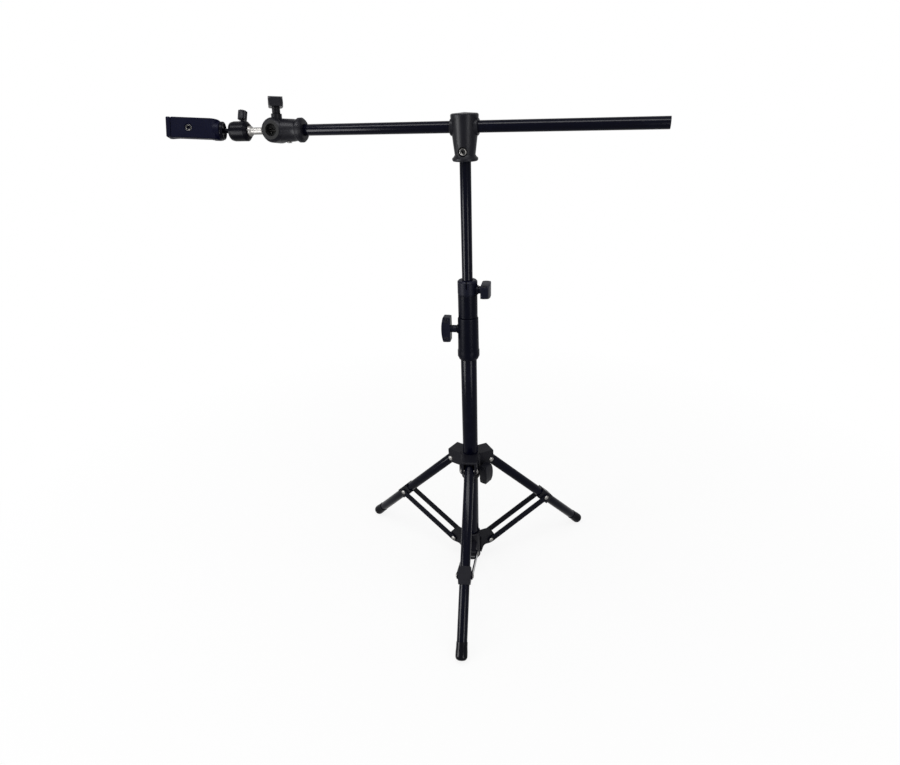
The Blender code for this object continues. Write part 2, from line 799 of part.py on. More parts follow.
def build_hub(hub):
    low = -HUB_BOTTOM_DROP
    grip = HUB_GRIP_D / 2
    ring = HUB_RING_D / 2
    sleeve = HUB_SLEEVE_D / 2
    body = turned(
        [
            (0, low),
            (grip - MM, low),
            (grip, low + MM),
            (grip, low + HUB_GRIP_H),
            (ring - MM, low + HUB_GRIP_H),
            (ring, low + HUB_GRIP_H + MM),
            (ring, low + HUB_GRIP_H + HUB_RING_H),
            (sleeve, low + HUB_GRIP_H + HUB_RING_H + 2 * MM),
            (sleeve, HUB_TOP_RISE - 2 * MM),
            (sleeve - 2 * MM, HUB_TOP_RISE),
            (0, HUB_TOP_RISE),
        ]
    )
    inner = EAR_GAP / 2
    wide = inner + EAR_T
    outline = [(-r, z) for r, z in filleted(lug_corners())]
    lugs = [moved(prism(outline, -wide, wide, "YZ"), turn=heading(turn)) for turn in leg_turns()]
    knob_z = low + HUB_GRIP_H + HUB_RING_H / 2
    boss = moved(rod(BOSS_D / 2, 4 * MM, ring + 2 * MM, 20, "X"), (0, 0, knob_z))
    knob_turn = LEG_TURN + math.pi / LEG_COUNT
    body = joined(body, *lugs, moved(boss, turn=outward(knob_turn)))

    tools = [rod(LOWER_TUBE_D / 2 + RUN, low - MM, HUB_TOP_RISE + MM, COLUMN_SIDES)]
    for turn in leg_turns():
        pocket = block(
            (-inner, inner),
            (-PIVOT_R - 2 * EAR_REACH, -sleeve - POCKET_BACK),
            (-20 * MM, HUB_TOP_RISE - POCKET_ROOF),
        )
        tools.append(moved(pocket, turn=heading(turn)))
        reach = wide + MM
        hole = moved(rod(RIVET_D / 2 + PIN_PLAY, -reach, reach, PIN_SIDES, "X"), (0, -PIVOT_R, 0))
        tools.append(moved(hole, turn=heading(turn)))
    hole = moved(rod(KNOB_SCREW_D / 2 + RUN, 4 * MM, ring + 3 * MM, 16, "X"), (0, 0, knob_z))
    tools.append(moved(hole, turn=outward(knob_turn)))
    piece("hub", cut(body, *tools), moulding("hub_plastic"), hub)

    shoulder = ring + 2 * MM + SEAT
    knob = wing_knob(LOWER_TUBE_D / 2 + RUN, shoulder, HUB_KNOB_R, HUB_KNOB_LENGTH)
    place = outward(knob_turn) @ Matrix.Translation((0, 0, knob_z))
    place = place @ Matrix.Rotation(HUB_KNOB_ROLL, 4, "X")
    piece("hub_knob", knob, moulding("hub_knob_plastic"), hub, place)


def foot_reach():
    """The foot's length below the leg pivot that puts its lowest point at the floor."""
    drop = hub_height() + FOOT_DROP
    side = FOOT_D / 2 - FOOT_ROUND
    along = (drop - FOOT_ROUND - side * math.sin(LEG_SPREAD)) / math.cos(LEG_SPREAD)
    return along + FOOT_ROUND


def build_leg(name, leg):
    """A leg along -Z from its pivot, with the pieces fixed to it."""
    outer = LEG_D / 2
    end = foot_reach() - FOOT_END - SEAT
    tube = pipe(outer - LEG_WALL, outer, -end, LEG_OVERHANG, BAR_SIDES)
    hole = rod(RIVET_D / 2 + PIN_PLAY, -outer - MM, outer + MM, PIN_SIDES, "X")
    piece(f"{name}_leg", cut(tube, hole), paint(f"{name}_leg_paint"), leg)

    tip = foot_reach()
    radius = FOOT_D / 2
    bore = outer + SEAT
    low = [(r, -z) for r, z in arc((radius - FOOT_ROUND, tip - FOOT_ROUND), FOOT_ROUND, 90, 0, 5)]
    cap = turned(
        [
            (0, -tip),
            *low,
            (radius, FOOT_L - tip - MM),
            (radius - 0.7 * MM, FOOT_L - tip),
            (bore, FOOT_L - tip),
            (bore, FOOT_END - tip),
            (0, FOOT_END - tip),
        ],
        FOOT_SIDES,
    )
    piece(f"{name}_foot", cap, rubber(f"{name}_foot_rubber"), leg)

    wide = BRACKET_W / 2
    narrow = outer + SEAT + 0.8 * MM
    long = BRACKET_L / 2
    outline = filleted(
        [
            (-narrow, -long, 0),
            (narrow, -long, 0),
            (wide, -long * 0.4, 1.5 * MM),
            (wide, long * 0.4, 1.5 * MM),
            (narrow, long, 0),
            (-narrow, long, 0),
            (-wide, long * 0.4, 1.5 * MM),
            (-wide, -long * 0.4, 1.5 * MM),
        ],
        2,
    )
    body = prism(outline, -BRACKET_DEPTH / 2, BRACKET_DEPTH / 2, "XZ")
    body = cut(body, rod(outer + SEAT, -long - MM, long + MM, BAR_SIDES))
    bracket = moved(body, (0, 0, -BRACE_ON_LEG))
    piece(f"{name}_bracket", bracket, moulding(f"{name}_bracket_plastic"), leg)


def build_brace(name, brace):
    """Two straps along +Z from the lower pivot, with a rivet half in each upper end."""
    inner = BRACKET_W / 2 + SEAT
    play = RIVET_D / 2 + PIN_PLAY
    for side, sign in (("left", -1), ("right", 1)):
        near, far = sorted((sign * inner, sign * (inner + STRAP_T)))
        strap = prism(stadium(BRACE_LENGTH, STRAP_W), near, far, "YZ")
        holes = [rod(play, near - MM, far + MM, PIN_SIDES, "X") for _ in range(2)]
        moved(holes[1], (0, 0, BRACE_LENGTH))
        strap = cut(strap, *holes)
        piece(f"{name}_brace_{side}", strap, paint(f"{name}_brace_{side}_paint"), brace)
        stub = rivet_stub(BRACKET_W / 2 + SEAT, inner + STRAP_T)
        if sign < 0:
            stub.transform(Matrix.Rotation(math.pi, 4, "Z"))
        place = Matrix.Translation((0, 0, BRACE_LENGTH))
        finish = steel(f"{name}_brace_rivet_{side}_steel")
        piece(f"{name}_brace_rivet_{side}", stub, finish, brace, place)


def build_legs(root, hub):
    for name, turn in zip(("front", "right", "left"), leg_turns()):
        pivot = heading(turn) @ Matrix.Translation((0, -PIVOT_R, 0))
        spread = Matrix.Rotation(-LEG_SPREAD, 4, "X")
        build_leg(name, frame(f"{name}_leg_pivot", hub, pivot @ spread))
        pin = rivet(EAR_GAP / 2 + EAR_T)
        piece(f"{name}_hub_rivet", pin, steel(f"{name}_hub_rivet_steel"), hub, pivot)

        pivot = heading(turn) @ Matrix.Translation((0, -PIVOT_R, BRACE_PIVOT_Z))
        spread = Matrix.Rotation(brace_spread(), 4, "X")
        build_brace(name, frame(f"{name}_brace_pivot", root, pivot @ spread))
        pin = rivet(BRACKET_W / 2 + SEAT + STRAP_T)
        piece(f"{name}_collar_rivet", pin, steel(f"{name}_collar_rivet_steel"), root, pivot)


# T-head and crossbar, in a frame on the column's axis at the bar's height


def build_t_head(head):
    low = T_BOTTOM - BAR_Z
    flange = T_FLANGE_D / 2
    socket = T_SOCKET_D / 2
    body_r = T_BODY_D / 2
    cap = T_CAP_D / 2
    top = T_CAP_RISE
    body = turned(
        [
            (0, low),
            (flange - 1.2 * MM, low),
            (flange, low + 1.4 * MM),
            (flange, low + 3.8 * MM),
            (socket + 1.2 * MM, low + 6 * MM),
            (socket, low + 8 * MM),
            (socket + 2.1 * MM, low + T_SOCKET_H),
            (body_r - 0.7 * MM, low + T_SOCKET_H + 12 * MM),
            (body_r, top - 7 * MM),
            (cap, top - 5.6 * MM),
            (cap, top - 1.8 * MM),
            (cap - 1.6 * MM, top - 0.4 * MM),
            (0, top + 0.9 * MM),
        ]
    )
    sides = turned(
        [
            (0, -T_SIDE_REACH),
            (T_SIDE_D / 2 - MM, -T_SIDE_REACH),
            (T_SIDE_D / 2, MM - T_SIDE_REACH),
            (T_SIDE_D / 2, T_SIDE_REACH - MM),
            (T_SIDE_D / 2 - MM, T_SIDE_REACH),
            (0, T_SIDE_REACH),
        ],
        BAR_SIDES,
        "X",
    )
    bolt_z = low + T_BOLT_RISE
    recess = socket - T_BOLT_RECESS
    bores = [
        rod(UPPER_TUBE_D / 2 + SEAT, low - MM, UPPER_TUBE_TOP - BAR_Z + SEAT, BAR_SIDES),
        rod(BAR_D / 2 + SEAT, -T_SIDE_REACH - MM, T_SIDE_REACH + MM, BAR_SIDES, "X"),
        moved(rod(T_BOLT_RECESS_D / 2, recess, socket + 4 * MM, 20, "-Y"), (0, 0, bolt_z)),
        moved(rod(KNOB_SCREW_D / 2 + SEAT, 4 * MM, recess + MM, 16, "-Y"), (0, 0, bolt_z)),
    ]
    body = cut(joined(body, sides), *bores)
    piece("t_head", body, moulding("t_head_plastic"), head)

    head_r = T_BOLT_D / 2
    face = recess + SEAT
    bolt = turned(
        [
            (0, UPPER_TUBE_D / 2 + SEAT),
            (KNOB_SCREW_D / 2, UPPER_TUBE_D / 2 + SEAT),
            (KNOB_SCREW_D / 2, face),
            (head_r, face),
            (head_r, face + 2 * MM),
            (head_r - 0.8 * MM, face + 2.8 * MM),
            (0, face + 2.8 * MM),
        ],
        20,
        "-Y",
    )
    hexagon = rod(2 * MM, face + 0.9 * MM, face + 4 * MM, 6, "-Y")
    place = Matrix.Translation((0, 0, bolt_z))
    piece("t_head_bolt", cut(bolt, hexagon), steel("t_head_bolt_steel"), head, place)


def build_crossbar(head):
    outer = BAR_D / 2
    bar = pipe(outer - BAR_WALL, outer, -BAR_LEFT, BAR_RIGHT, BAR_SIDES, "X")
    piece("crossbar", bar, paint("crossbar_paint"), head)


def build_boom_head(head):
    flare = BOOM_FLARE_D / 2
    waist = BOOM_WAIST_D / 2
    drum = BOOM_DRUM_D / 2
    end = BOOM_END_X
    sleeve = turned(
        [
            (0, BOOM_HOLE_X),
            (drum - 0.8 * MM, BOOM_HOLE_X),
            (drum - 0.8 * MM, BOOM_HOLE_X + 14 * MM),
            (waist + 0.7 * MM, end - 17 * MM),
            (waist, end - 12.5 * MM),
            (flare - 1 * MM, end - 9 * MM),
            (flare, end - 8 * MM),
            (flare, end - 3.5 * MM),
            (flare - 2.4 * MM, end - 0.6 * MM),
            (flare - 4 * MM, end),
            (0, end),
        ],
        COLUMN_SIDES,
        "X",
    )
    half = BOOM_DRUM_W / 2
    barrel = turned(
        [
            (0, -half),
            (drum - 4 * MM, -half),
            (drum - 1.2 * MM, 2 * MM - half),
            (drum, 5 * MM - half),
            (drum, half - 5 * MM),
            (drum - 1.2 * MM, half - 2 * MM),
            (drum - 4 * MM, half),
            (0, half),
        ],
        COLUMN_SIDES,
        "Y",
    )
    moved(barrel, (BOOM_HOLE_X, 0, 0))
    knob_x = BOOM_HOLE_X + 1.7 * MM
    boss = moved(rod(BOOM_BOSS_D / 2, 0, BOOM_BOSS_RISE, 24), (knob_x, 0, 0))
    body = joined(sleeve, barrel, boss)

    screw = KNOB_SCREW_D / 2 + SEAT
    fixing = RIVET_D / 2 + SEAT
    bores = [
        rod(BAR_D / 2 + SEAT, BOOM_HOLE_X, end + MM, BAR_SIDES, "X"),
        moved(rod(BOOM_HOLE_D / 2, -drum - MM, drum + MM, BAR_SIDES, "Y"), (BOOM_HOLE_X, 0, 0)),
        rod(SPIGOT_TAIL_D / 2 + SEAT, BOOM_HOLE_X - drum - MM, BOOM_HOLE_X, 16, "X"),
        moved(rod(screw, 0, BOOM_BOSS_RISE + MM, 16), (knob_x, 0, 0)),
        moved(rod(fixing, -drum - MM, 0, PIN_SIDES), (BOOM_SCREW_X, 0, 0)),
    ]
    piece("boom_head", cut(body, *bores), moulding("boom_head_plastic"), head)

    surface = waist + 1.3 * MM
    bolt = turned(
        [
            (0, -surface - 1.5 * MM),
            (RIVET_D * 0.6, -surface - 1.3 * MM),
            (RIVET_D * 0.85, -surface - SEAT - 0.4 * MM),
            (RIVET_D * 0.85, -surface - SEAT),
            (RIVET_D / 2, -surface - SEAT),
            (RIVET_D / 2, -BAR_D / 2 - SEAT),
            (0, -BAR_D / 2 - SEAT),
        ],
        PIN_SIDES,
    )
    place = Matrix.Translation((BOOM_SCREW_X, 0, 0))
    piece("boom_head_screw", bolt, steel("boom_head_screw_steel"), head, place)

    knob = wing_knob(BOOM_HOLE_D / 2 + MM, BOOM_BOSS_RISE + SEAT, BOOM_KNOB_RISE)
    up = Matrix.Rotation(math.radians(-90), 4, "Y")
    place = Matrix.Translation((knob_x, 0, 0)) @ Matrix.Rotation(BOOM_KNOB_ROLL, 4, "Z") @ up
    piece("boom_head_knob", knob, moulding("boom_head_knob_plastic"), head, place)


def build_spigot(head):
    """The waisted spigot: its tail is in the boom head, and its stud in the ball head."""
    full = SPIGOT_D / 2
    waist = SPIGOT_WAIST_D / 2
    right = BOOM_HOLE_X - BOOM_DRUM_D / 2 - SEAT
    left = SPIGOT_LEFT
    stud = SPIGOT_STUD_D / 2
    tail = SPIGOT_TAIL_D / 2
    screw = SPIGOT_SCREW_D / 2
    tip = right + SPIGOT_TAIL + SPIGOT_SCREW
    mesh = turned(
        [
            (0, left - SPIGOT_STUD),
            (stud, left - SPIGOT_STUD),
            (stud, left),
            (full, left),
            (full, left + 3.4 * MM),
            (waist, left + 5.6 * MM),
            (waist, right - 6 * MM),
            (full - 0.4 * MM, right - 3.6 * MM),
            (full - 0.4 * MM, right),
            (tail, right),
            (tail, right + SPIGOT_TAIL),
            (screw, right + SPIGOT_TAIL),
            (screw, tip - 0.6 * MM),
            (screw - 0.6 * MM, tip),
            (0, tip),
        ],
        24,
        "X",
    )
    piece("spigot", mesh, steel("spigot_steel"), head)


# Ball head and phone clamp


def stem_pose():
    """The ball's rest turn: panned towards -Y and raised a little."""
    pan = Matrix.Rotation(BALL_PAN_REST, 4, "Z")
    return pan @ Matrix.Rotation(BALL_TILT_REST, 4, "Y")


def drop_slot_turn():
    """The turn about X that carries +Z to the drop slot, opposite to the way the stem leans."""
    lean = stem_pose() @ Vector((-1, 0, 0))
    return Matrix.Rotation(math.atan2(lean.y, -lean.z) - HOUSING_ROLL, 4, "X")


def build_ball_housing(housing):
    """Its frame is on the ball's centre, with +X towards the spigot."""
    ball = BALL_D / 2
    cavity = ball + RUN
    neck = BALL_NECK_D / 2
    outer = HOUSING_D / 2
    left = HOUSING_LEFT - BALL_X
    right = HOUSING_RIGHT - BALL_X
    mouth = -left * math.tan(BALL_SWING) + neck / math.cos(BALL_SWING) + RUN
    lip = 180 - math.degrees(BALL_SWING + math.asin(neck / ball)) - 2
    socket = [(r, x) for x, r in arc((0, 0), cavity, lip, 90, 4)]
    back = right - 5.4 * MM
    stud = SPIGOT_STUD_D / 2 + SEAT
    body = turned(
        [
            (stud, right),
            (outer - 3.6 * MM, right),
            (outer, right - 3.6 * MM),
            (outer, left + 4.5 * MM),
            (outer - MM, left),
            (mouth, left),
            *socket,
            (cavity, back),
            (stud, back),
        ],
        COLUMN_SIDES,
        "X",
        closed=True,
    )
    thumb = THUMB_X - BALL_X
    slot_half = neck + 0.8 * MM
    outline = arc((0, 0), slot_half, -90, 90, 6)
    outline += [(left - MM, slot_half), (left - MM, -slot_half)]
    slot = moved(prism(outline, 0, outer + MM), turn=drop_slot_turn())
    hole = moved(rod(THUMB_NECK_D / 2 + RUN, 4 * MM, outer + MM, PIN_SIDES), (thumb, 0, 0))
    body = cut(body, slot, hole)
    piece("ball_housing", body, moulding("ball_housing_aluminium"), housing)

    dish = [(r, x) for x, r in arc((0, 0), ball + RUN, 0, 58, 5)]
    rim = cavity - RUN
    seat = turned(
        [
            *dish,
            (rim, 6.6 * MM),
            (rim, back - SEAT),
            (0, back - SEAT),
        ],
        24,
        "X",
    )
    piece("ball_seat", seat, moulding("ball_seat_nylon"), housing)


def build_thumbscrew(housing):
    outer = THUMB_HEAD_D / 2
    outline = []
    for i in range(THUMB_FLUTES * 2):
        radius = outer if i % 2 else outer - 0.9 * MM
        for half in (-0.2, 0.2):
            angle = math.tau * (i + half) / (THUMB_FLUTES * 2)
            outline.append((radius * math.cos(angle), radius * math.sin(angle)))
    low = THUMB_RISE
    high = THUMB_RISE + THUMB_HEAD_H
    head = bevelled(prism(outline, low, high), 0.7 * MM, 1, 70)
    neck = rod(THUMB_NECK_D / 2, BALL_D / 2 + RUN, low + 2 * MM, PIN_SIDES)
    place = Matrix.Translation((THUMB_X - BALL_X, 0, 0))
    finish = moulding("ball_thumbscrew_plastic")
    piece("ball_thumbscrew", joined(head, neck), finish, housing, place)


def build_ball_stem(stem):
    """Ball, neck and threaded stud in one, along -X from the ball's centre."""
    ball = BALL_D / 2
    neck = BALL_NECK_D / 2
    touch = math.degrees(math.asin(neck / ball))
    face = PLATFORM_REACH + PLATFORM_T
    profile = [(r, x) for x, r in arc((0, 0), ball, 180, touch, 10)]
    profile += [
        (neck, PLATFORM_REACH + MM),
        (STUD_D / 2, PLATFORM_REACH + MM),
        (STUD_D / 2, face + STUD_L),
        (0, face + STUD_L),
    ]
    profile[0] = (0, -ball)
    mesh = turned(profile, 20, "-X")
    piece("ball_stem", mesh, steel("ball_stem_chrome"), stem)

    radius = PLATFORM_D / 2
    inner = neck + SEAT
    dish = PLATFORM_REACH + PLATFORM_DISH
    disc = turned(
        [
            (inner, dish),
            (radius - PLATFORM_RIM - MM, dish),
            (radius - PLATFORM_RIM, PLATFORM_REACH),
            (radius - 0.8 * MM, PLATFORM_REACH),
            (radius, PLATFORM_REACH + 0.8 * MM),
            (radius, face - 0.8 * MM),
            (radius - 0.8 * MM, face),
            (inner, face),
        ],
        COLUMN_SIDES,
        "-X",
        closed=True,
    )
    piece("ball_platform", disc, moulding("ball_platform_aluminium"), stem)


def jaw_outline(start, wall, tip, direction, root):
    """A jaw in the X-Y plane: its wall runs from the plate to the tip and ends in a hook."""
    inner = start + direction * wall
    hook = inner + direction * PHONE_HOOK
    return [
        (start, tip, 3 * MM),
        (hook, tip, 1.2 * MM),
        (hook, tip - 2 * MM, 0.6 * MM),
        (inner, tip - 2 * MM - PHONE_HOOK, 0.6 * MM),
        (inner, root, 0),
    ]


def narrowed(mesh, front, tip, margin=0.0):
    """A jaw or pad cut to the height that tapers from the plate to the tips."""
    wide = PHONE_H / 2 + MM
    narrow = PHONE_TIP_H / 2 - margin
    taper = [(front - 2 * PHONE_JAW, wide), (front, wide), (tip + MM, narrow)]
    outline = taper + [(y, -z) for y, z in reversed(taper)]
    return combined(mesh, [prism(outline, -PHONE_LENGTH - MM, MM, "YZ")], "INTERSECT")


def grip_pad(start, direction, low, high):
    """A rubber pad with rounded ribs, lying against a jaw at start."""
    ribs = 5
    pitch = (high - low) / ribs
    outline = [(start, high), (start, low)]
    for i in range(ribs):
        y = low + i * pitch
        for along, rise in ((0.06, 0.62), (0.3, 0.98), (0.7, 0.98), (0.94, 0.62)):
            outline.append((start + direction * PHONE_PAD * rise, y + pitch * along))
    return prism(outline, -PHONE_H / 2 + 1.5 * MM, PHONE_H / 2 - 1.5 * MM)


def coil(radius, wire, length, turns):
    """An extension spring along -X, as one closed tube that follows a helix."""
    curve = bpy.data.curves.new("coil", "CURVE")
    curve.dimensions = "3D"
    curve.bevel_depth = wire / 2
    curve.bevel_resolution = 1
    curve.use_fill_caps = True
    steps = turns * 8
    line = curve.splines.new("POLY")
    line.points.add(steps)
    for i, point in enumerate(line.points):
        angle = math.tau * i * turns / steps
        x = -length * i / steps
        point.co = (x, radius * math.cos(angle), radius * math.sin(angle), 1)
    body = bpy.data.objects.new("temporary", curve)
    bpy.context.scene.collection.objects.link(body)
    mesh = evaluated(body)
    mesh.materials.clear()
    return mesh


def build_phone_clamp(clamp):
    """Its frame is on the stem's axis, where the clamp meets the platform, and it runs along -X."""
    back = -PHONE_BACK
    front = back + PHONE_PLATE
    tip = back + PHONE_JAW
    body_end = -(PHONE_LENGTH - PHONE_MOVING_WALL - SEAT)
    half = PHONE_H / 2
    outline = [
        (-PHONE_BOSS, back, PHONE_SHOULDER),
        *jaw_outline(-PHONE_BOSS, PHONE_WALL - PHONE_BOSS, tip, -1, front),
        (body_end, front, 1.2 * MM),
        (body_end, back, 1.2 * MM),
    ]
    body = narrowed(slab(outline, -half, half, PHONE_EDGE, steps=5), front, tip)
    boss = PLATFORM_D / 2
    seat_ring = turned(
        [
            (0, MM - PHONE_WALL),
            (boss, MM - PHONE_WALL),
            (boss, -0.7 * MM),
            (boss - 0.7 * MM, 0),
            (0, 0),
        ],
        COLUMN_SIDES,
        "X",
    )
    body = joined(body, seat_ring)
    middle = back + PHONE_PLATE / 2
    channel = block(
        (body_end - MM, body_end + PHONE_CHANNEL_L),
        (middle - PHONE_CHANNEL_T / 2, middle + PHONE_CHANNEL_T / 2),
        (-PHONE_CHANNEL_W / 2, PHONE_CHANNEL_W / 2),
    )
    recess = moved(rod(INSERT_RECESS_D / 2, -MM, 0.7 * MM, 24, "Y"), (-INSERT_AT, back, 0))
    seat = moved(rod(INSERT_D / 2 + SEAT, -MM, 6 * MM, 24, "Y"), (-INSERT_AT, back, 0))
    stud = rod(STUD_D / 2 + SEAT, -STUD_L - MM, MM, PIN_SIDES, "X")
    body = cut(body, channel, recess, seat, stud)
    piece("clamp_body", body, moulding("clamp_body_plastic"), clamp)

    ring = pipe(INSERT_BORE / 2, INSERT_D / 2, 0.2 * MM, 2.2 * MM, 20, "Y")
    place = Matrix.Translation((-INSERT_AT, back, 0))
    piece("clamp_insert", ring, steel("clamp_insert_steel"), clamp, place)

    low = front + SEAT
    high = tip - 2 * MM - PHONE_HOOK - 0.4 * MM
    pad = narrowed(grip_pad(-PHONE_WALL - SEAT, -1, low, high), front, tip, MM)
    piece("clamp_body_pad", pad, rubber("clamp_body_pad_rubber"), clamp)

    slide = frame("clamp_slide", clamp)
    build_moving_jaw(slide, (back, front, middle, tip), (low, high))

    inner_end = body_end + PHONE_CHANNEL_L
    slider_end = -PHONE_LENGTH + PHONE_MOVING_WALL + PHONE_SLIDER_L
    length = inner_end - slider_end - 2 * SEAT - SPRING_WIRE
    spring = coil((SPRING_D - SPRING_WIRE) / 2, SPRING_WIRE, length, SPRING_TURNS)
    place = Matrix.Translation((inner_end - SEAT - SPRING_WIRE / 2, middle, 0))
    piece("clamp_spring", spring, steel("clamp_spring_steel"), clamp, place)


def build_moving_jaw(slide, across, pad_span):
    back, front, middle, tip = across
    half = PHONE_H / 2
    end = -PHONE_LENGTH
    wall = end + PHONE_MOVING_WALL
    outline = [
        (end, back, 1.5 * MM),
        (wall, back, 0),
        *jaw_outline(end, PHONE_MOVING_WALL, tip, 1, front)[:0:-1],
        (end, tip, 3 * MM),
    ]
    jaw = narrowed(slab(outline, -half, half, PHONE_EDGE), front, tip)
    thick = PHONE_CHANNEL_T / 2 - RUN
    wide = PHONE_CHANNEL_W / 2 - RUN
    slider = block(
        (end + 2 * MM, wall + PHONE_SLIDER_L),
        (middle - thick, middle + thick),
        (-wide, wide),
    )
    jaw = joined(jaw, slider)
    piece("clamp_jaw", jaw, moulding("clamp_jaw_plastic"), slide)
    pad = narrowed(grip_pad(wall + SEAT, 1, *pad_span), front, tip, MM)
    piece("clamp_jaw_pad", pad, rubber("clamp_jaw_pad_rubber"), slide)


def main():
    clear_scene()
    root = frame("column")
    build_lower_column(root)
    build_lower_collar(root)
    build_lower_clamp(root)
    mid = frame("mid_slide", root)
    build_mid_section(mid)
    upper = frame("upper_slide", mid)
    build_upper_section(upper)
    hub = frame("hub_slide", root, Matrix.Translation((0, 0, hub_height())))
    build_hub(hub)
    build_legs(root, hub)
    head = frame("head_swivel", upper, Matrix.Translation((0, 0, BAR_Z)))
    build_t_head(head)
    build_crossbar(head)
    build_boom_head(frame("boom_head_roll", head, Matrix.Rotation(BOOM_ROLL, 4, "X")))
    build_spigot(head)
    centre = Matrix.Translation((BALL_X, 0, 0))
    ball = frame("ball_centre", head, centre)
    housing = frame("housing_turn", ball, Matrix.Rotation(HOUSING_ROLL, 4, "X"))
    build_ball_housing(housing)
    build_thumbscrew(housing)
    stem = frame("ball_tilt", ball, stem_pose())
    build_ball_stem(stem)
    reach = PLATFORM_REACH + PLATFORM_T + SEAT
    roll = Matrix.Rotation(CLAMP_ROLL_REST, 4, "X")
    clamp = frame("clamp_turn", stem, Matrix.Translation((-reach, 0, 0)) @ roll)
    build_phone_clamp(clamp)


main()
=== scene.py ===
# %% [markdown]
# A folding stand for a phone. Three legs spread from a sliding hub, a telescopic column rises from
# their middle, and a T-head on its top holds a crossbar. The bar's left end carries a boom head, a
# spigot, a ball head and a sprung phone clamp.
#
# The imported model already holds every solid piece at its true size, and each rides on the body that
# moves it. This script adds what the eye wants: rounder tubes, softened edges, threads, ribs, rivets
# and finishes. Everything is in metres, in the model's own frame.

# %% Load the frame
import json
import math

import bmesh
import bpy
from mathutils import Matrix, Vector


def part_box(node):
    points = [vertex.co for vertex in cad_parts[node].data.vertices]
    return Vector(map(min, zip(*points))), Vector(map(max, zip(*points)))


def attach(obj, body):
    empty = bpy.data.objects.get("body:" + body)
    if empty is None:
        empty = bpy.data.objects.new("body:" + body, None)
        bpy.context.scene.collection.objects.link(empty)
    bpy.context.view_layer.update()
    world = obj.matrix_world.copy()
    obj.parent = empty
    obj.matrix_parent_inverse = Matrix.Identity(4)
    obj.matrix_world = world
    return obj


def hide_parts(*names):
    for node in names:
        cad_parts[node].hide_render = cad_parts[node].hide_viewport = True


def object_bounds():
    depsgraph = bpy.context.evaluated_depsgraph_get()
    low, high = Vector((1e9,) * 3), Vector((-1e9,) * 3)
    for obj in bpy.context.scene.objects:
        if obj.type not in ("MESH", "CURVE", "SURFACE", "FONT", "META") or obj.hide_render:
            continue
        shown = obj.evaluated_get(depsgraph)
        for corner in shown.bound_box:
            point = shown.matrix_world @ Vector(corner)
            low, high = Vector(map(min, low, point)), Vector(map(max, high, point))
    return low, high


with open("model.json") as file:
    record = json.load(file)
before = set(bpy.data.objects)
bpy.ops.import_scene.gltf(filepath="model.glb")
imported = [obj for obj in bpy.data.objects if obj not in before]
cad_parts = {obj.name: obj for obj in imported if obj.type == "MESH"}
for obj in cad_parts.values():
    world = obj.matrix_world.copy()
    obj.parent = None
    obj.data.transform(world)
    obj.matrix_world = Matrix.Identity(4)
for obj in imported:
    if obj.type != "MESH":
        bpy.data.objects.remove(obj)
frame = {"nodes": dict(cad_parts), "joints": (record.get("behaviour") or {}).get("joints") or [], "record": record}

MM = 0.001
NODES = frame["nodes"]
cad_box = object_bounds()
print("model box, mm:", [[round(v * 1000, 1) for v in corner] for corner in cad_box])

# %% [markdown]
# The camera stands where the photographer stood: to the right of the column and a few centimetres
# above the crossbar, looking down. The place, the turn and the lens come from the
# photograph's straight lines. A perspective camera at less than a metre gives the strong
# convergence that makes the near foot look large.

# %% Camera
scene = bpy.context.scene
PHOTO_WIDTH = 900
PHOTO_HEIGHT = 765
FOCAL_PX = 603.25
CENTRE_PX = (448.3, 391.5)  # where the lens axis meets the picture

lens = bpy.data.cameras.new("photo_camera")
camera = bpy.data.objects.new("photo_camera", lens)
scene.collection.objects.link(camera)
lens.sensor_width = 36
lens.lens = FOCAL_PX / PHOTO_WIDTH * lens.sensor_width
lens.shift_x = (PHOTO_WIDTH / 2 - CENTRE_PX[0]) / PHOTO_WIDTH
lens.shift_y = (CENTRE_PX[1] - PHOTO_HEIGHT / 2) / PHOTO_WIDTH
lens.clip_start = 0.01
camera.location = (0.2080, -0.8580, 0.7829)
pan = Matrix.Rotation(math.radians(15.86), 4, "Z")
pitch = Matrix.Rotation(math.radians(90 - 26.355), 4, "X")
roll = Matrix.Rotation(math.radians(-2.013), 4, "Z")
camera.rotation_euler = (pan @ pitch @ roll).to_euler()
scene.camera = camera
print("lens, mm:", round(lens.lens, 2), "shift:", round(lens.shift_x, 4), round(lens.shift_y, 4))

# %% [markdown]
# Shader maths reads best as plain expressions. This class wraps a socket, so that a * b + 0.2 adds
# the Math nodes by itself. The other way is to place each Math node by hand, which takes a page for
# one formula. Any other node comes from the finish's own add method.

# %% Shader maths


class Value:
    """A socket that carries a number and can be used in an expression."""

    def __init__(self, socket):
        self.socket = socket
        self.tree = socket.id_data

    def _maths(self, operation, first, second=None):
        made = self.tree.nodes.new("ShaderNodeMath")
        made.operation = operation
        for place, item in zip(made.inputs, (first, second)):
            if isinstance(item, Value):
                self.tree.links.new(item.socket, place)
            elif item is not None:
                place.default_value = item
        return Value(made.outputs[0])

    def __add__(self, other):
        return self._maths("ADD", self, other)

    def __radd__(self, other):
        return self._maths("ADD", other, self)

    def __sub__(self, other):
        return self._maths("SUBTRACT", self, other)

    def __rsub__(self, other):
        return self._maths("SUBTRACT", other, self)

    def __mul__(self, other):
        return self._maths("MULTIPLY", self, other)

    def __rmul__(self, other):
        return self._maths("MULTIPLY", other, self)

    def __truediv__(self, other):
        return self._maths("DIVIDE", self, other)

    def __rtruediv__(self, other):
        return self._maths("DIVIDE", other, self)

    def larger(self, other):
        return self._maths("MAXIMUM", self, other)

    def clipped(self):
        """The number kept between 0 and 1."""
        made = self._maths("MULTIPLY", self, 1.0)
        made.socket.node.use_clamp = True
        return made


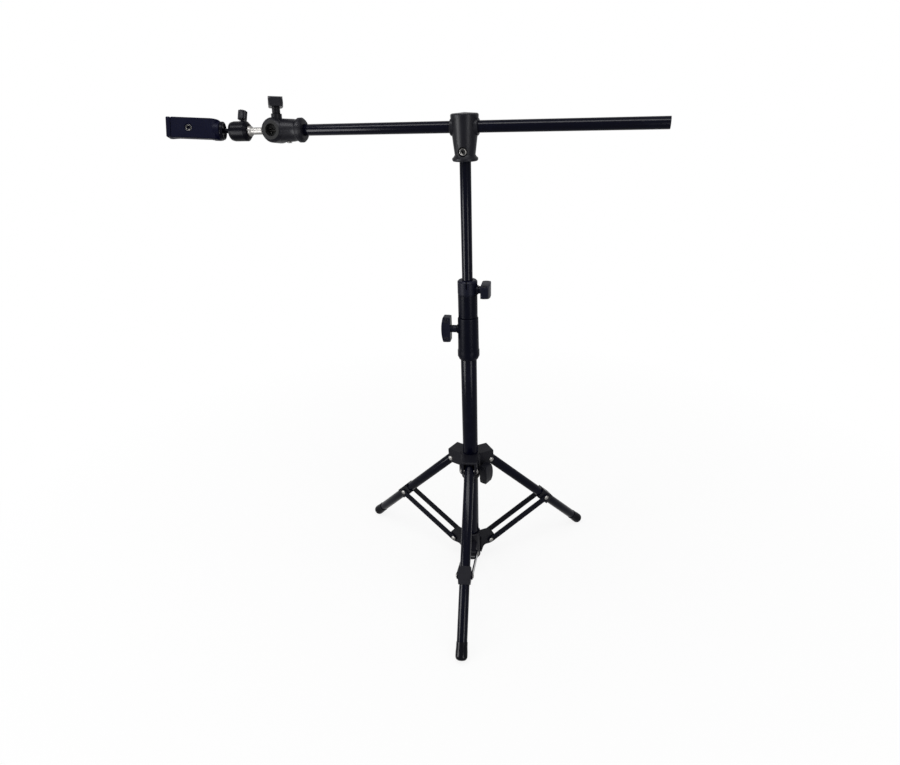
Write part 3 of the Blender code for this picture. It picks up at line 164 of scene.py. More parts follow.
class Tree:
    """A node tree, with one method for all its nodes."""

    prefix = "ShaderNode"

    def __init__(self, tree):
        self.tree = tree

    def add(self, kind, settings=None, **inputs):
        """A node of this kind. Its settings come first, then the values or links of its inputs."""
        whole = kind.startswith(("ShaderNode", "FunctionNode", "NodeGroup"))
        made = self.tree.nodes.new(kind if whole else self.prefix + kind)
        for key, value in (settings or {}).items():
            setattr(made, key, value)
        for key, value in inputs.items():
            self.feed(made.inputs[key.replace("_", " ")], value)
        return made

    def feed(self, place, value):
        if isinstance(value, Value):
            value = value.socket
        if isinstance(value, bpy.types.NodeSocket):
            self.tree.links.new(value, place)
        else:
            place.default_value = value


class Finish(Tree):
    """A material on a Principled shader."""

    def __init__(self, name):
        self.material = bpy.data.materials.new(name)
        self.material.use_nodes = True
        super().__init__(self.material.node_tree)
        self.shader = self.tree.nodes["Principled BSDF"]

    def set(self, **inputs):
        """Values or links on the main shader."""
        for key, value in inputs.items():
            self.feed(self.shader.inputs[key.replace("_", " ")], value)

    def where(self, along=None):
        """Object coordinates, or the piece's own map round and along a tube."""
        if along:
            return self.add("UVMap", {"uv_map": along}).outputs["UV"]
        return self.add("TexCoord").outputs["Object"]

    def stretched(self, source, scale):
        return self.add("Mapping", Vector=source, Scale=scale).outputs["Vector"]

    def noise(self, source, scale, detail=3.0, rough=0.5):
        made = self.add("TexNoise", Vector=source, Scale=scale, Detail=detail, Roughness=rough)
        return Value(made.outputs["Fac"])

    def tinted(self, mask, first, second):
        """A colour between two, by a mask."""
        made = self.add("Mix", {"data_type": "RGBA"})
        self.feed(made.inputs["Factor"], mask)
        for place, colour in (("A", first), ("B", second)):
            for socket in made.inputs:
                if socket.name == place and socket.type == "RGBA":
                    self.feed(socket, (*colour, 1))
        return [socket for socket in made.outputs if socket.type == "RGBA"][0]

    def relief(self, height, depth):
        """A bump of this depth, in metres."""
        return self.add("Bump", Strength=1.0, Distance=depth, Height=height).outputs["Normal"]


print("shader helpers ready")

# %% [markdown]
# The tubes are lacquered a very dark navy that looks black until light strikes it. On the real
# stand a lamp on each side draws two thin bright lines down every tube. A plain black would lose
# them, so the lacquer is smooth, and only fine lines from drawing the tube and a few rubbed
# patches break its gloss. The lines must follow each tube however it leans, so they read the
# tube's own map: round it in one direction, along it in the other.

# %% Lacquer of the tubes and braces
LACQUER = (0.0009, 0.0011, 0.0052)
LACQUER_RUBBED = (0.0042, 0.0048, 0.0125)
DRAWN_LINES = (900, 14, 14)  # fine round the tube, long along it
FLAT_SPECKS = (300, 300, 300)


def lacquer(name, along=None):
    """The tubes' finish. Along names the tube's map, which the flat braces don't have."""
    made = Finish(name)
    source = made.where(along)
    drawn = made.noise(made.stretched(source, DRAWN_LINES if along else FLAT_SPECKS), 1.0, 2.0)
    rubbed = made.noise(source, 38, 4.0, 0.62)
    dust = made.noise(source, 1400, 2.0)
    patches = ((rubbed - 0.52) * 5).clipped()
    made.set(
        Base_Color=made.tinted(patches * 0.5 + drawn * 0.3, LACQUER, LACQUER_RUBBED),
        Roughness=0.16 + patches * 0.06 + drawn * 0.03 + dust * 0.02,
        Normal=made.relief(drawn + dust * 0.2, 0.000001),
        Specular_IOR_Level=0.045,
    )
    return made.material


TUBE_MAP = "round_and_along"
tube_lacquer = lacquer("navy_black_lacquer", TUBE_MAP)
strap_lacquer = lacquer("navy_black_lacquer_flat")
print("lacquers:", tube_lacquer.name, strap_lacquer.name)

# %% [markdown]
# The hub, collar, T-head and boom head are moulded from charcoal plastic with a fine spark-eroded
# grain. Grain is a height, not a colour, so it goes to the Bump node, at the real size of about a
# third of a millimetre. Handling polishes such plastic in patches, and pale dust settles in the
# grain, so roughness and colour both change slowly over each piece. The column clamps, their knobs,
# the phone clamp and the anodised ball housing differ only in tint, gloss and grain, so one function
# makes them all.

# %% Moulded plastics


def moulding(name, dark, light, rough, grain, gloss):
    """A grained finish between two tints. The grain is a depth in metres."""
    made = Finish(name)
    source = made.where()
    fine = made.noise(source, 2600, 3.0, 0.6)
    cells = made.add("TexVoronoi", {"feature": "F1"}, Vector=source, Scale=2100)
    handled = made.noise(source, 45, 3.0)
    flow = made.noise(made.stretched(source, (60, 60, 420)), 1.0, 2.0)
    shade = (handled * 0.7 + flow * 0.3 + fine * 0.25 - 0.1).clipped()
    made.set(
        Base_Color=made.tinted(shade, dark, light),
        Roughness=rough + (handled - 0.5) * 0.16 + (fine - 0.5) * 0.1,
        Normal=made.relief(fine * 0.6 + Value(cells.outputs["Distance"]) * 0.7, grain),
        Specular_IOR_Level=gloss,
    )
    return made.material


# Each line gives the dark and light tint, the roughness, the grain's depth and the gloss.
MOULDED = {
    "charcoal_plastic": ((0.0028, 0.0028, 0.005), (0.0092, 0.0092, 0.0135), 0.4, 0.00003, 0.065),
    "glossy_sleeve_plastic": ((0.0006, 0.0008, 0.0038), (0.0024, 0.0028, 0.0078), 0.32, 0.000003, 0.03),
    "knob_plastic": ((0.0014, 0.0017, 0.007), (0.0044, 0.0052, 0.015), 0.42, 0.00003, 0.05),
    "navy_clamp_plastic": ((0.0008, 0.0011, 0.0078), (0.0024, 0.0031, 0.0145), 0.42, 0.00002, 0.03),
    "black_anodised_aluminium": ((0.0005, 0.0005, 0.002), (0.0018, 0.0018, 0.0048), 0.3, 0.000004, 0.03),
    "pale_nylon": ((0.5, 0.5, 0.47), (0.66, 0.66, 0.62), 0.45, 0.00001, 0.35),
    "polished_boot_rubber": ((0.001, 0.001, 0.0028), (0.004, 0.004, 0.0068), 0.22, 0.000003, 0.045),
    # painted shade: a near-black finish for sockets, bores and the cross hole, standing for the shade inside them
    "oiled_recess": ((0.0012, 0.0012, 0.0016), (0.004, 0.004, 0.0045), 0.6, 0.00001, 0.1),
}
moulded = {name: moulding(name, *values) for name, values in MOULDED.items()}
plastic = moulded["charcoal_plastic"]
sleeve_plastic = moulded["glossy_sleeve_plastic"]
knob_plastic = moulded["knob_plastic"]
clamp_plastic = moulded["navy_clamp_plastic"]
ball_finish = moulded["black_anodised_aluminium"]
nylon = moulded["pale_nylon"]
boot_rubber = moulded["polished_boot_rubber"]
recess_painted_shade = moulded["oiled_recess"]
print("mouldings:", len(moulded))

# %% [markdown]
# The pads that the phone rests on are soft rubber, which takes no clear reflection. Its surface is
# dull, a little grey where it has dried, and slightly pitted. High roughness alone would look like
# paper, so a low broad sheen stays, with pits in the bump. The boots on the legs are harder and
# polished by the floor, so they are a moulding of the cell above.

# %% Rubber
rubber_finish = Finish("black_rubber")
spots = rubber_finish.where()
pits = rubber_finish.noise(spots, 1500, 4.0, 0.65)
bloom = rubber_finish.noise(spots, 60, 3.0)
grey = (bloom * 1.2 - 0.2).clipped()
rubber_finish.set(
    Base_Color=rubber_finish.tinted(grey, (0.0035, 0.0035, 0.0042), (0.011, 0.011, 0.012)),
    Roughness=0.6 + bloom * 0.16,
    Normal=rubber_finish.relief(pits, 0.00005),
    Specular_IOR_Level=0.1,
)
rubber = rubber_finish.material
print("rubber:", rubber.name)

# %% [markdown]
# Rivets, spigot, bolt, insert and spring are nickel-plated steel. A metal's colour is in its
# reflection, so Metallic is 1 and the tint goes to Base Color. Turning marks run round each piece:
# here fine noise stretched in one direction stands in for them, and thin grey dirt dulls patches.
# The plating is worn satin. A mirror finish would show the white cards of the lighting as plain
# white and lose the piece against the background, so it is rough enough to blur them.

# %% Nickel plate
nickel_finish = Finish("nickel_plate")
spots = nickel_finish.where()
turned_marks = nickel_finish.noise(nickel_finish.stretched(spots, (2600, 120, 120)), 1.0, 2.0)
dull = nickel_finish.noise(spots, 170, 3.0, 0.6)
dirt = (dull * 1.6 - 0.5).clipped()
nickel_finish.set(
    Base_Color=nickel_finish.tinted(dirt, (0.17, 0.165, 0.158), (0.08, 0.08, 0.079)),
    Metallic=1.0,
    Roughness=0.42 + dull * 0.1 + turned_marks * 0.1,
    Normal=nickel_finish.relief(turned_marks, 0.000002),
)
nickel = nickel_finish.material
print("nickel:", nickel.name)

# %% [markdown]
# Every new piece is handled alike: its mesh is already in place, so the object stays at the
# origin. It gets a finish, rides on a body, and may stand for one or more imported nodes, which it
# hides.

# %% Placing a piece
BODY_OF = {}
for body, members in frame["record"]["behaviour"]["bodies"].items():
    for member in members:
        BODY_OF[member] = body
SHARP_ANGLE = math.radians(32)
done = set()


def smooth(mesh):
    """Smooth shading, apart from the edges that turn further than the sharp angle."""
    mesh.shade_smooth()
    mesh.set_sharp_from_angle(angle=SHARP_ANGLE)
    return mesh


def add_piece(name, mesh, finish, body, stands_for=()):
    """A finished piece on its body, in place of the nodes it stands for."""
    made = bpy.data.objects.new(name, mesh)
    scene.collection.objects.link(made)
    mesh.materials.clear()
    mesh.materials.append(finish)
    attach(made, body)
    if stands_for:
        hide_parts(*stands_for)
        done.update(stands_for)
    return made


print("bodies:", len(set(BODY_OF.values())), "nodes:", len(BODY_OF))

# %% [markdown]
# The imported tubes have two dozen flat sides, which is right for physics and coarse for the eye.
# A turned shape is only a profile spun round an axis, so each tube is turned again with many more
# sides and a small rounding at its rims. The profile is in (radius, height) pairs, and the spin also
# writes the map that the lacquer reads.

# %% Turned pieces
TUBE_SIDES = 72
TUBE_RIM = 0.4 * MM
ON_AXIS = 1e-7  # a smaller radius is a single point on the axis


def turned(profile, closed=True):
    """A (radius, height) profile spun round Z, with a map in metres round and along it."""
    rings = []
    shape = bmesh.new()
    for radius, height in profile:
        if radius < ON_AXIS:
            rings.append([shape.verts.new((0, 0, height))] * TUBE_SIDES)
            continue
        ring = []
        for i in range(TUBE_SIDES):
            angle = math.tau * i / TUBE_SIDES
            ring.append(shape.verts.new((radius * math.cos(angle), radius * math.sin(angle), height)))
        rings.append(ring)
    layer = shape.loops.layers.uv.new(TUBE_MAP)
    count = len(rings)
    run = 0.0
    for i in range(count if closed else count - 1):
        (r0, z0), (r1, z1) = profile[i], profile[(i + 1) % count]
        step = math.hypot(r1 - r0, z1 - z0)
        below, above = rings[i], rings[(i + 1) % count]
        for j in range(TUBE_SIDES):
            k = (j + 1) % TUBE_SIDES
            lower = [(below[j], j, run), (below[k], j + 1, run)]
            upper = [(above[k], j + 1, run + step), (above[j], j, run + step)]
            kept = []
            for corner in lower + upper:
                if not kept or all(corner[0] is not other[0] for other in kept):
                    kept.append(corner)
            face = shape.faces.new([corner[0] for corner in kept])
            for loop, (_, turn, height) in zip(face.loops, kept):
                loop[layer].uv = (turn / TUBE_SIDES * max(r0, r1) * math.tau, height)
        run += step
    bmesh.ops.recalc_face_normals(shape, faces=shape.faces)
    mesh = bpy.data.meshes.new("turned")
    shape.to_mesh(mesh)
    shape.free()
    return smooth(mesh)


def tube(inner, outer, low, high):
    """A tube whose four rims are rounded."""
    half = TUBE_RIM * 0.5
    third = TUBE_RIM * 0.3
    return turned(
        [
            (outer, low + TUBE_RIM),
            (outer, high - TUBE_RIM),
            (outer - third, high - third),
            (outer - TUBE_RIM, high),
            (inner + half, high),
            (inner, high - half),
            (inner, low + half),
            (inner + half, low),
            (outer - TUBE_RIM, low),
            (outer - third, low + third),
        ]
    )


def size_of(node):
    """The lowest and highest corner of a node's box."""
    low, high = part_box(node)
    return Vector(low), Vector(high)


def middle_of(node):
    low, high = size_of(node)
    return (low + high) / 2


def corners_of(node):
    """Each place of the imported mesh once, because its triangles don't share their corners."""
    places = {tuple(round(c, 6) for c in vertex.co) for vertex in NODES[node].data.vertices}
    return [Vector(place) for place in places]


print("a tube has", TUBE_SIDES, "sides")

# %% [markdown]
# The three column tubes and the crossbar stand straight, so their packed boxes give their radius and
# their ends. Only the wall's thickness is a value of its own.

# %% Column tubes and crossbar
WALL = {"lower_tube": 1.4 * MM, "mid_tube": 1.2 * MM, "upper_tube": 1.1 * MM}
BAR_WALL = 1.1 * MM
for node, wall in WALL.items():
    low, high = size_of(node)
    outer = (high.x - low.x) / 2
    shape = tube(outer - wall, outer, low.z, high.z)
    add_piece(node + "_round", shape, tube_lacquer, BODY_OF[node], [node])
    print(node, "diameter, mm:", round(outer * 2000, 2))

low, high = size_of("crossbar")
outer = (high.z - low.z) / 2
BAR_HEIGHT = (high.z + low.z) / 2
bar = tube(outer - BAR_WALL, outer, low.x, high.x)
bar.transform(Matrix.Translation((0, 0, BAR_HEIGHT)) @ Matrix.Rotation(math.radians(90), 4, "Y"))
add_piece("crossbar_round", bar, tube_lacquer, BODY_OF["crossbar"], ["crossbar"])
print("crossbar height, mm:", round(BAR_HEIGHT * 1000, 1))

# %% [markdown]
# The legs lean, so a box says too little. Their hinges are in the record, and the spread is a value
# that the whole stand is built on. Each leg is turned upright and then laid along its own direction
# by one matrix, which the foot uses too.

# %% Legs and feet
JOINT = {joint["name"]: joint for joint in frame["joints"]}
LEG_SPREAD = math.radians(44.4)
LEG_R = 8.25 * MM
LEG_WALL = 1.1 * MM
FOOT_R = 9.4 * MM
DOME_STEPS = 12
LEGS = ("front", "right", "left")


def leg_place(name):
    """The matrix that carries an upright leg, hung from the origin, to its place."""
    hinge = JOINT[name + "_leg_hinge"]
    axis = Vector(hinge["axis"])
    turn = math.atan2(axis.y, axis.x)
    spread = Matrix.Rotation(turn, 4, "Z") @ Matrix.Rotation(-LEG_SPREAD, 4, "X")
    return Matrix.Translation(hinge["pos_m"]) @ spread


def along_leg(name, node):
    """How far a node reaches along its leg, as (lowest, highest) from the hinge."""
    back = leg_place(name).inverted()
    heights = [(back @ vertex.co).z for vertex in NODES[node].data.vertices]
    return min(heights), max(heights)


def foot_profile(low, high):
    """A moulded rubber boot: domed end, a swell above it, and a thin lip where it grips the tube."""
    bore = LEG_R + 0.3 * MM
    lip = LEG_R + 0.62 * MM
    dome = 6.5 * MM
    profile = [(0.0, low)]
    for i in range(1, DOME_STEPS + 1):
        angle = math.radians(90 * i / DOME_STEPS)
        profile.append((FOOT_R - dome + dome * math.sin(angle), low + dome - dome * math.cos(angle)))
    profile += [
        (FOOT_R, low + 11 * MM),
        (FOOT_R - 0.12 * MM, low + 14 * MM),
        (lip + 0.1 * MM, low + 18.5 * MM),
        (lip, low + 21 * MM),
        (lip, high - 0.3 * MM),
        (lip - 0.2 * MM, high),
        (bore, high),
        (bore, low + 6 * MM),
        (0.0, low + 6 * MM),
    ]
    return profile


for name in LEGS:
    place = leg_place(name)
    low, high = along_leg(name, name + "_leg")
    leg = tube(LEG_R - LEG_WALL, LEG_R, low, high)
    leg.transform(place)
    add_piece(name + "_leg_round", leg, tube_lacquer, BODY_OF[name + "_leg"], [name + "_leg"])
    low, high = along_leg(name, name + "_foot")
    foot = turned(foot_profile(low, high), closed=False)
    foot.transform(place)
    add_piece(name + "_foot_round", foot, boot_rubber, BODY_OF[name + "_foot"], [name + "_foot"])
    print(name, "leg's foot reaches, mm:", round(-low * 1000, 1))

# %% [markdown]
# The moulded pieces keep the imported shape. A real edge is never razor sharp, and the thin bright
# line along a softened edge is what shows a form in a dark object. A copy is welded, its sharp edges
# get a small bevel, and its faces are shaded smooth. Large faces pull the shading of their corners
# towards their own direction, so that a flat face still looks flat beside its bevel.

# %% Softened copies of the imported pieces
WELD = 0.004 * MM
FLAT_ANGLE = math.radians(4)  # faces closer than this are one face
EDGE_ANGLE = math.radians(34)  # edges that turn further than this are softened


def softened(node, width):
    """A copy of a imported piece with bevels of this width."""
    shape = bmesh.new()
    shape.from_mesh(NODES[node].data)
    bmesh.ops.remove_doubles(shape, verts=shape.verts, dist=WELD)
    bmesh.ops.dissolve_limit(shape, angle_limit=FLAT_ANGLE, verts=shape.verts, edges=shape.edges)
    mesh = bpy.data.meshes.new(node)
    shape.to_mesh(mesh)
    shape.free()
    smooth(mesh)
    helper = bpy.data.objects.new(node + "_helper", mesh)
    scene.collection.objects.link(helper)
    edge = helper.modifiers.new("edges", "BEVEL")
    edge.width = width
    edge.segments = 2
    edge.limit_method = "ANGLE"
    edge.angle_limit = EDGE_ANGLE
    flat = helper.modifiers.new("flat", "WEIGHTED_NORMAL")
    flat.keep_sharp = True
    bpy.context.view_layer.update()
    graph = bpy.context.evaluated_depsgraph_get()
    result = bpy.data.meshes.new_from_object(helper.evaluated_get(graph))
    bpy.data.objects.remove(helper, do_unlink=True)
    return result


# Each line gives the finish and the bevel's width in millimetres.
SOFT = {
    "hub": (plastic, 0.6),
    "lower_collar": (plastic, 0.6),
    "lower_clamp": (sleeve_plastic, 0.4),
    "upper_clamp": (knob_plastic, 0.35),
    "t_head": (plastic, 0.35),
    "t_head_bolt": (nickel, 0.25),
    "boom_head": (plastic, 0.5),
    "lower_clamp_knob": (knob_plastic, 0.5),
    "upper_clamp_knob": (knob_plastic, 0.5),
    "hub_knob": (plastic, 0.5),
    "boom_head_knob": (plastic, 0.5),
    "ball_housing": (ball_finish, 0.4),
    "ball_platform": (ball_finish, 0.3),
    "ball_stem": (ball_finish, 0.15),
    "ball_thumbscrew": (plastic, 0.25),
    "ball_seat": (nylon, 0.2),
    "spigot": (nickel, 0.25),
    "boom_head_screw": (nickel, 0.2),
    "clamp_body": (clamp_plastic, 0.4),
    "clamp_jaw": (clamp_plastic, 0.8),
    "clamp_insert": (nickel, 0.2),
    "clamp_body_pad": (rubber, 0.3),
    "clamp_jaw_pad": (rubber, 0.3),
    "column_plug": (rubber, 0.3),
    "mid_tube_guide": (plastic, 0.2),
    "upper_tube_guide": (plastic, 0.2),
}
for name in LEGS:
    SOFT[name + "_bracket"] = (plastic, 0.5)
    SOFT[name + "_brace_left"] = (strap_lacquer, 0.3)
    SOFT[name + "_brace_right"] = (strap_lacquer, 0.3)
pieces = {}
for node, (finish, width) in SOFT.items():
    shape = softened(node, width * MM)
    pieces[node] = add_piece(node + "_soft", shape, finish, BODY_OF[node], [node])
print("softened:", len(SOFT))

# %% [markdown]
# Four pieces carry two finishes. The upper clamp is a matt cap over a polished sleeve. The bolt's
# hexagon socket, the insert's bore and the boom head's cross hole get a near-black finish: painted
# shade for their insides. A second slot and a rule on each face's middle give that, with no new mesh.

# %% Second finishes


def second_finish(node, finish, wanted):
    """Faces whose middle passes the test get this finish."""
    mesh = pieces[node].data
    mesh.materials.append(finish)
    hits = 0
    for face in mesh.polygons:
        if wanted(face.center):
            face.material_index = 1
            hits += 1
    print(node, "faces with a second finish:", hits)


def near_line(point, axis, radius):
    """A test for being close to a line."""
    start, direction = Vector(point), Vector(axis).normalized()

    def test(spot):
        gap = spot - start
        return (gap - direction * gap.dot(direction)).length < radius

    return test


CAP_HEIGHT = 22 * MM
INSERT_BORE_R = 2.75 * MM
SOCKET_R = 2.1 * MM
SOCKET_DEPTH = 2.3 * MM
CROSS_BORE_R = 8.55 * MM
MOUNT = {mount["name"]: mount for mount in frame["record"]["mounts"]}
INSERT_AXIS = Vector(MOUNT["tripod_insert"]["axis"]).normalized()

cap_seam = size_of("upper_clamp")[1].z - CAP_HEIGHT
second_finish("upper_clamp", sleeve_plastic, lambda spot: spot.z < cap_seam)
# The bore, the socket and the cross hole take the near-black painted shade.
insert_bore = near_line(middle_of("clamp_insert"), INSERT_AXIS, INSERT_BORE_R)
second_finish("clamp_insert", recess_painted_shade, insert_bore)
socket = near_line(middle_of("t_head_bolt"), (0, 1, 0), SOCKET_R)
socket_floor = size_of("t_head_bolt")[0].y + SOCKET_DEPTH
second_finish("t_head_bolt", recess_painted_shade, lambda spot: socket(spot) and spot.y < socket_floor)
cross = MOUNT["boom_cross_socket"]
cross_middle = (cross["pos_m"][0], 0, BAR_HEIGHT)
second_finish("boom_head", recess_painted_shade, near_line(cross_middle, cross["axis"], CROSS_BORE_R))

# %% [markdown]
# Rivets, grip ridges, a thread and a spring are all one shape repeated or one shape wound round an
# axis, which is what Geometry Nodes are for. This class builds a tree with named sizes, runs it on a
# small start mesh, and hands back a plain mesh, so that no modifier is left on the finished piece.

# %% Geometry Nodes helper


class Pattern(Tree):
    """Geometry Nodes with named sizes, run on a start mesh."""

    prefix = "GeometryNode"
    sockets = {float: "NodeSocketFloat", int: "NodeSocketInt"}

    def __init__(self, name, **sizes):
        super().__init__(bpy.data.node_groups.new(name, "GeometryNodeTree"))
        face = self.tree.interface
        face.new_socket("start", in_out="INPUT", socket_type="NodeSocketGeometry")
        for key, value in sizes.items():
            made = face.new_socket(key, in_out="INPUT", socket_type=self.sockets[type(value)])
            made.default_value = value
        face.new_socket("finish", in_out="INPUT", socket_type="NodeSocketMaterial")
        face.new_socket("result", in_out="OUTPUT", socket_type="NodeSocketGeometry")
        self.given = self.add("NodeGroupInput")

    def size(self, key):
        return Value(self.given.outputs[key])

    def stored(self, name, kind):
        """What the start mesh keeps at each point under this name."""
        made = self.add("InputNamedAttribute", {"data_type": kind}, Name=name)
        return [out for out in made.outputs if out.enabled and out.name == "Attribute"][0]

    def end(self, geometry):
        plain = self.add("RealizeInstances", Geometry=geometry)
        faced = self.add("SetMaterial", Geometry=plain.outputs[0], Material=self.given.outputs["finish"])
        self.add("NodeGroupOutput", result=faced.outputs[0])

    def run(self, start, finish, **sizes):
        """The plain mesh that the tree makes. Sizes that aren't given keep their first values."""
        helper = bpy.data.objects.new("pattern_helper", start)
        scene.collection.objects.link(helper)
        worker = helper.modifiers.new("pattern", "NODES")
        worker.node_group = self.tree
        sizes["finish"] = finish
        for item in self.tree.interface.items_tree:
            if item.name in sizes:
                worker[item.identifier] = sizes[item.name]
        bpy.context.view_layer.update()
        graph = bpy.context.evaluated_depsgraph_get()
        result = bpy.data.meshes.new_from_object(helper.evaluated_get(graph))
        helper.modifiers.remove(worker)
        bpy.data.objects.remove(helper, do_unlink=True)
        return smooth(result)


def start_points(points, **stored):
    """A mesh of loose points. Each stored list is kept on it under its name."""
    mesh = bpy.data.meshes.new("start")
    mesh.from_pydata(points, [], [])
    for name, values in stored.items():
        if isinstance(values[0], float):
            kept = mesh.attributes.new(name, "FLOAT", "POINT")
            kept.data.foreach_set("value", values)
        else:
            kept = mesh.attributes.new(name, "FLOAT_VECTOR", "POINT")
            kept.data.foreach_set("vector", [number for value in values for number in value])
    return mesh


print("pattern helper ready")

# %% [markdown]
# The legs and braces turn on rivets: a steel shank whose ends are hammered into low domes. Each dome
# is a sphere whose lower half is pressed flat and whose upper half is lowered. The tree sets one on
# every point, turned to face outwards, and draws a shank behind the first dome of each rivet. The
# packed rivets have ten sides and give the places, and one mesh serves all the rivets of a body.

# %% Rivets
RIVET_HEAD = 1.6 * MM
RIVET_HEAD_R = 4.2 * MM
RIVET_SHANK_R = 2.3 * MM
PLAIN_END_R = 3 * MM  # a packed end that is no wider has no dome
rivets = Pattern(
    "domed_rivets", head_radius=RIVET_HEAD_R, head_height=RIVET_HEAD, shank_radius=RIVET_SHANK_R, sides=32
)
ends_given = rivets.given.outputs["start"]
ball = rivets.add(
    "MeshUVSphere", Segments=rivets.size("sides"), Rings=16, Radius=rivets.size("head_radius")
)
spot = rivets.add("ShaderNodeSeparateXYZ", Vector=rivets.add("InputPosition").outputs[0])
squeeze = rivets.size("head_height") / rivets.size("head_radius")
height = Value(spot.outputs["Z"]).larger(0.0) * squeeze
lowered = rivets.add("ShaderNodeCombineXYZ", X=spot.outputs["X"], Y=spot.outputs["Y"], Z=height)
dome = rivets.add("SetPosition", Geometry=ball.outputs["Mesh"], Position=lowered.outputs[0])
facing = rivets.stored("facing", "FLOAT_VECTOR")
reach = Value(rivets.stored("reach", "FLOAT"))
turn = rivets.add("FunctionNodeAlignRotationToVector", {"axis": "Z"}, Vector=facing)
heads = rivets.add(
    "InstanceOnPoints", Points=ends_given, Instance=dome.outputs[0], Rotation=turn.outputs[0]
)
shank = rivets.add(
    "MeshCylinder", Vertices=rivets.size("sides"), Radius=rivets.size("shank_radius"), Depth=1.0
)
back = rivets.add("ShaderNodeVectorMath", {"operation": "SCALE"}, Vector=facing, Scale=reach * -0.5)
behind = rivets.add("SetPosition", Geometry=ends_given, Offset=back.outputs[0])
long = rivets.add("ShaderNodeCombineXYZ", X=1.0, Y=1.0, Z=reach)
shanks = rivets.add(
    "InstanceOnPoints",
    Points=behind.outputs[0],
    Selection=reach,
    Instance=shank.outputs["Mesh"],
    Rotation=turn.outputs[0],
    Scale=long.outputs[0],
)
both = rivets.add("JoinGeometry")
rivets.feed(both.inputs[0], shanks.outputs[0])
rivets.feed(both.inputs[0], heads.outputs[0])
rivets.end(both.outputs[0])


def rivet_ends(node, axis):
    """Its domes: where each lies, which way it faces, and the shank's length behind the first."""
    spots = corners_of(node)
    middle = sum(spots, Vector()) / len(spots)
    along = [(place - middle).dot(axis) for place in spots]
    apart = [(place - middle - axis * run).length for place, run in zip(spots, along)]
    tips = {}
    domed = {}
    for side in (1, -1):
        tips[side] = max(side * run for run in along)
        head_from = tips[side] - RIVET_HEAD * 1.05
        widest = max(gap for run, gap in zip(along, apart) if side * run > head_from)
        domed[side] = widest > PLAIN_END_R
    whole = sum(tips[side] - (RIVET_HEAD if domed[side] else 0) for side in (1, -1))
    ends = []
    for side in (1, -1):
        if domed[side]:
            base = middle + axis * side * (tips[side] - RIVET_HEAD)
            ends.append((base, axis * side, 0.0 if ends else whole))
    return ends


by_body = {}
for leg in LEGS:
    axis = Vector(JOINT[leg + "_leg_hinge"]["axis"]).normalized()
    for node in NODES:
        if node.startswith(leg) and "rivet" in node:
            by_body.setdefault(BODY_OF[node], []).append((node, rivet_ends(node, axis)))
for body, found in by_body.items():
    ends = [end for _, group in found for end in group]
    bases, faces, lengths = (list(part) for part in zip(*ends))
    made = rivets.run(start_points(bases, facing=faces, reach=lengths), nickel)
    add_piece(body + "_rivets", made, nickel, body, [node for node, _ in found])
    print(body, "rivets:", len(found), "domes:", len(ends), "faces:", len(made.polygons))

# %% [markdown]
# A wing knob is turned with cold or gloved fingers, so the mould has short grip ridges near the end
# of each wing. The tree lays a few slim ridges side by side and sets that row on four points, two on
# each side. Each ridge is a stretched sphere sunk half into the wing. Modelled ridges still show from
# the side, where a bump would vanish.

# %% Grip ridges on the knobs
RIDGES_IN_ROW = 4
ROW_FROM_END = 8.2 * MM  # a row's middle, in from the knob's outer end
WING_FACE = 9.05 * MM  # the wing's face at a row, from the knob's middle
ROW_ON_WING = 0.755  # a row's place on the wing, as a part of the wing's half length
WING_TAPER = 1.8 * MM
TAPER_ON_WING = 0.51  # the part of the half length over which the wing gets that much thinner
ridges = Pattern(
    "grip_ridges", count=RIDGES_IN_ROW, step=2.1 * MM, length=8.4 * MM, width=1.15 * MM, rise=0.55 * MM
)
grain = ridges.add("MeshUVSphere", Segments=16, Rings=12, Radius=0.5)
stretch = ridges.add(
    "ShaderNodeCombineXYZ", X=ridges.size("length"), Y=ridges.size("rise") * 2.0, Z=ridges.size("width")
)
slim = ridges.add("Transform", Geometry=grain.outputs["Mesh"], Scale=stretch.outputs[0])
first = ridges.add("ShaderNodeCombineXYZ", Z=(ridges.size("count") - 1.0) * ridges.size("step") * -0.5)
pace = ridges.add("ShaderNodeCombineXYZ", Z=ridges.size("step"))
row = ridges.add(
    "MeshLine", Count=ridges.size("count"), Start_Location=first.outputs[0], Offset=pace.outputs[0]
)
laid = ridges.add("InstanceOnPoints", Points=row.outputs[0], Instance=slim.outputs[0])
lean = ridges.add("FunctionNodeEulerToRotation", Euler=ridges.stored("lean", "FLOAT_VECTOR"))
rows = ridges.add(
    "InstanceOnPoints",
    Points=ridges.given.outputs["start"],
    Instance=laid.outputs[0],
    Rotation=lean.outputs[0],
)
ridges.end(rows.outputs[0])


def knob_frame(node, joint):
    """A knob's own frame, with X out along its screw and Z along its wings, its outer end and reach.

    The wings point the way in which the knob's corners spread the most.
    """
    axis = Vector(JOINT[joint]["axis"]).normalized()
    base = Vector(JOINT[joint]["pos_m"])
    side = axis.orthogonal().normalized()
    other = axis.cross(side)
    spots = [vertex.co - base for vertex in NODES[node].data.vertices]
    flat = [(place.dot(side), place.dot(other)) for place in spots]
    xx = sum(u * u for u, _ in flat)
    yy = sum(v * v for _, v in flat)
    xy = sum(u * v for u, v in flat)
    angle = 0.5 * math.atan2(2 * xy, xx - yy)
    wing = side * math.cos(angle) + other * math.sin(angle)
    outer = max(place.dot(axis) for place in spots)
    half = max(place.dot(wing) for place in spots)
    thick = wing.cross(axis)
    turned_frame = Matrix((axis, thick, wing)).transposed().to_4x4()
    return Matrix.Translation(base) @ turned_frame, outer, half


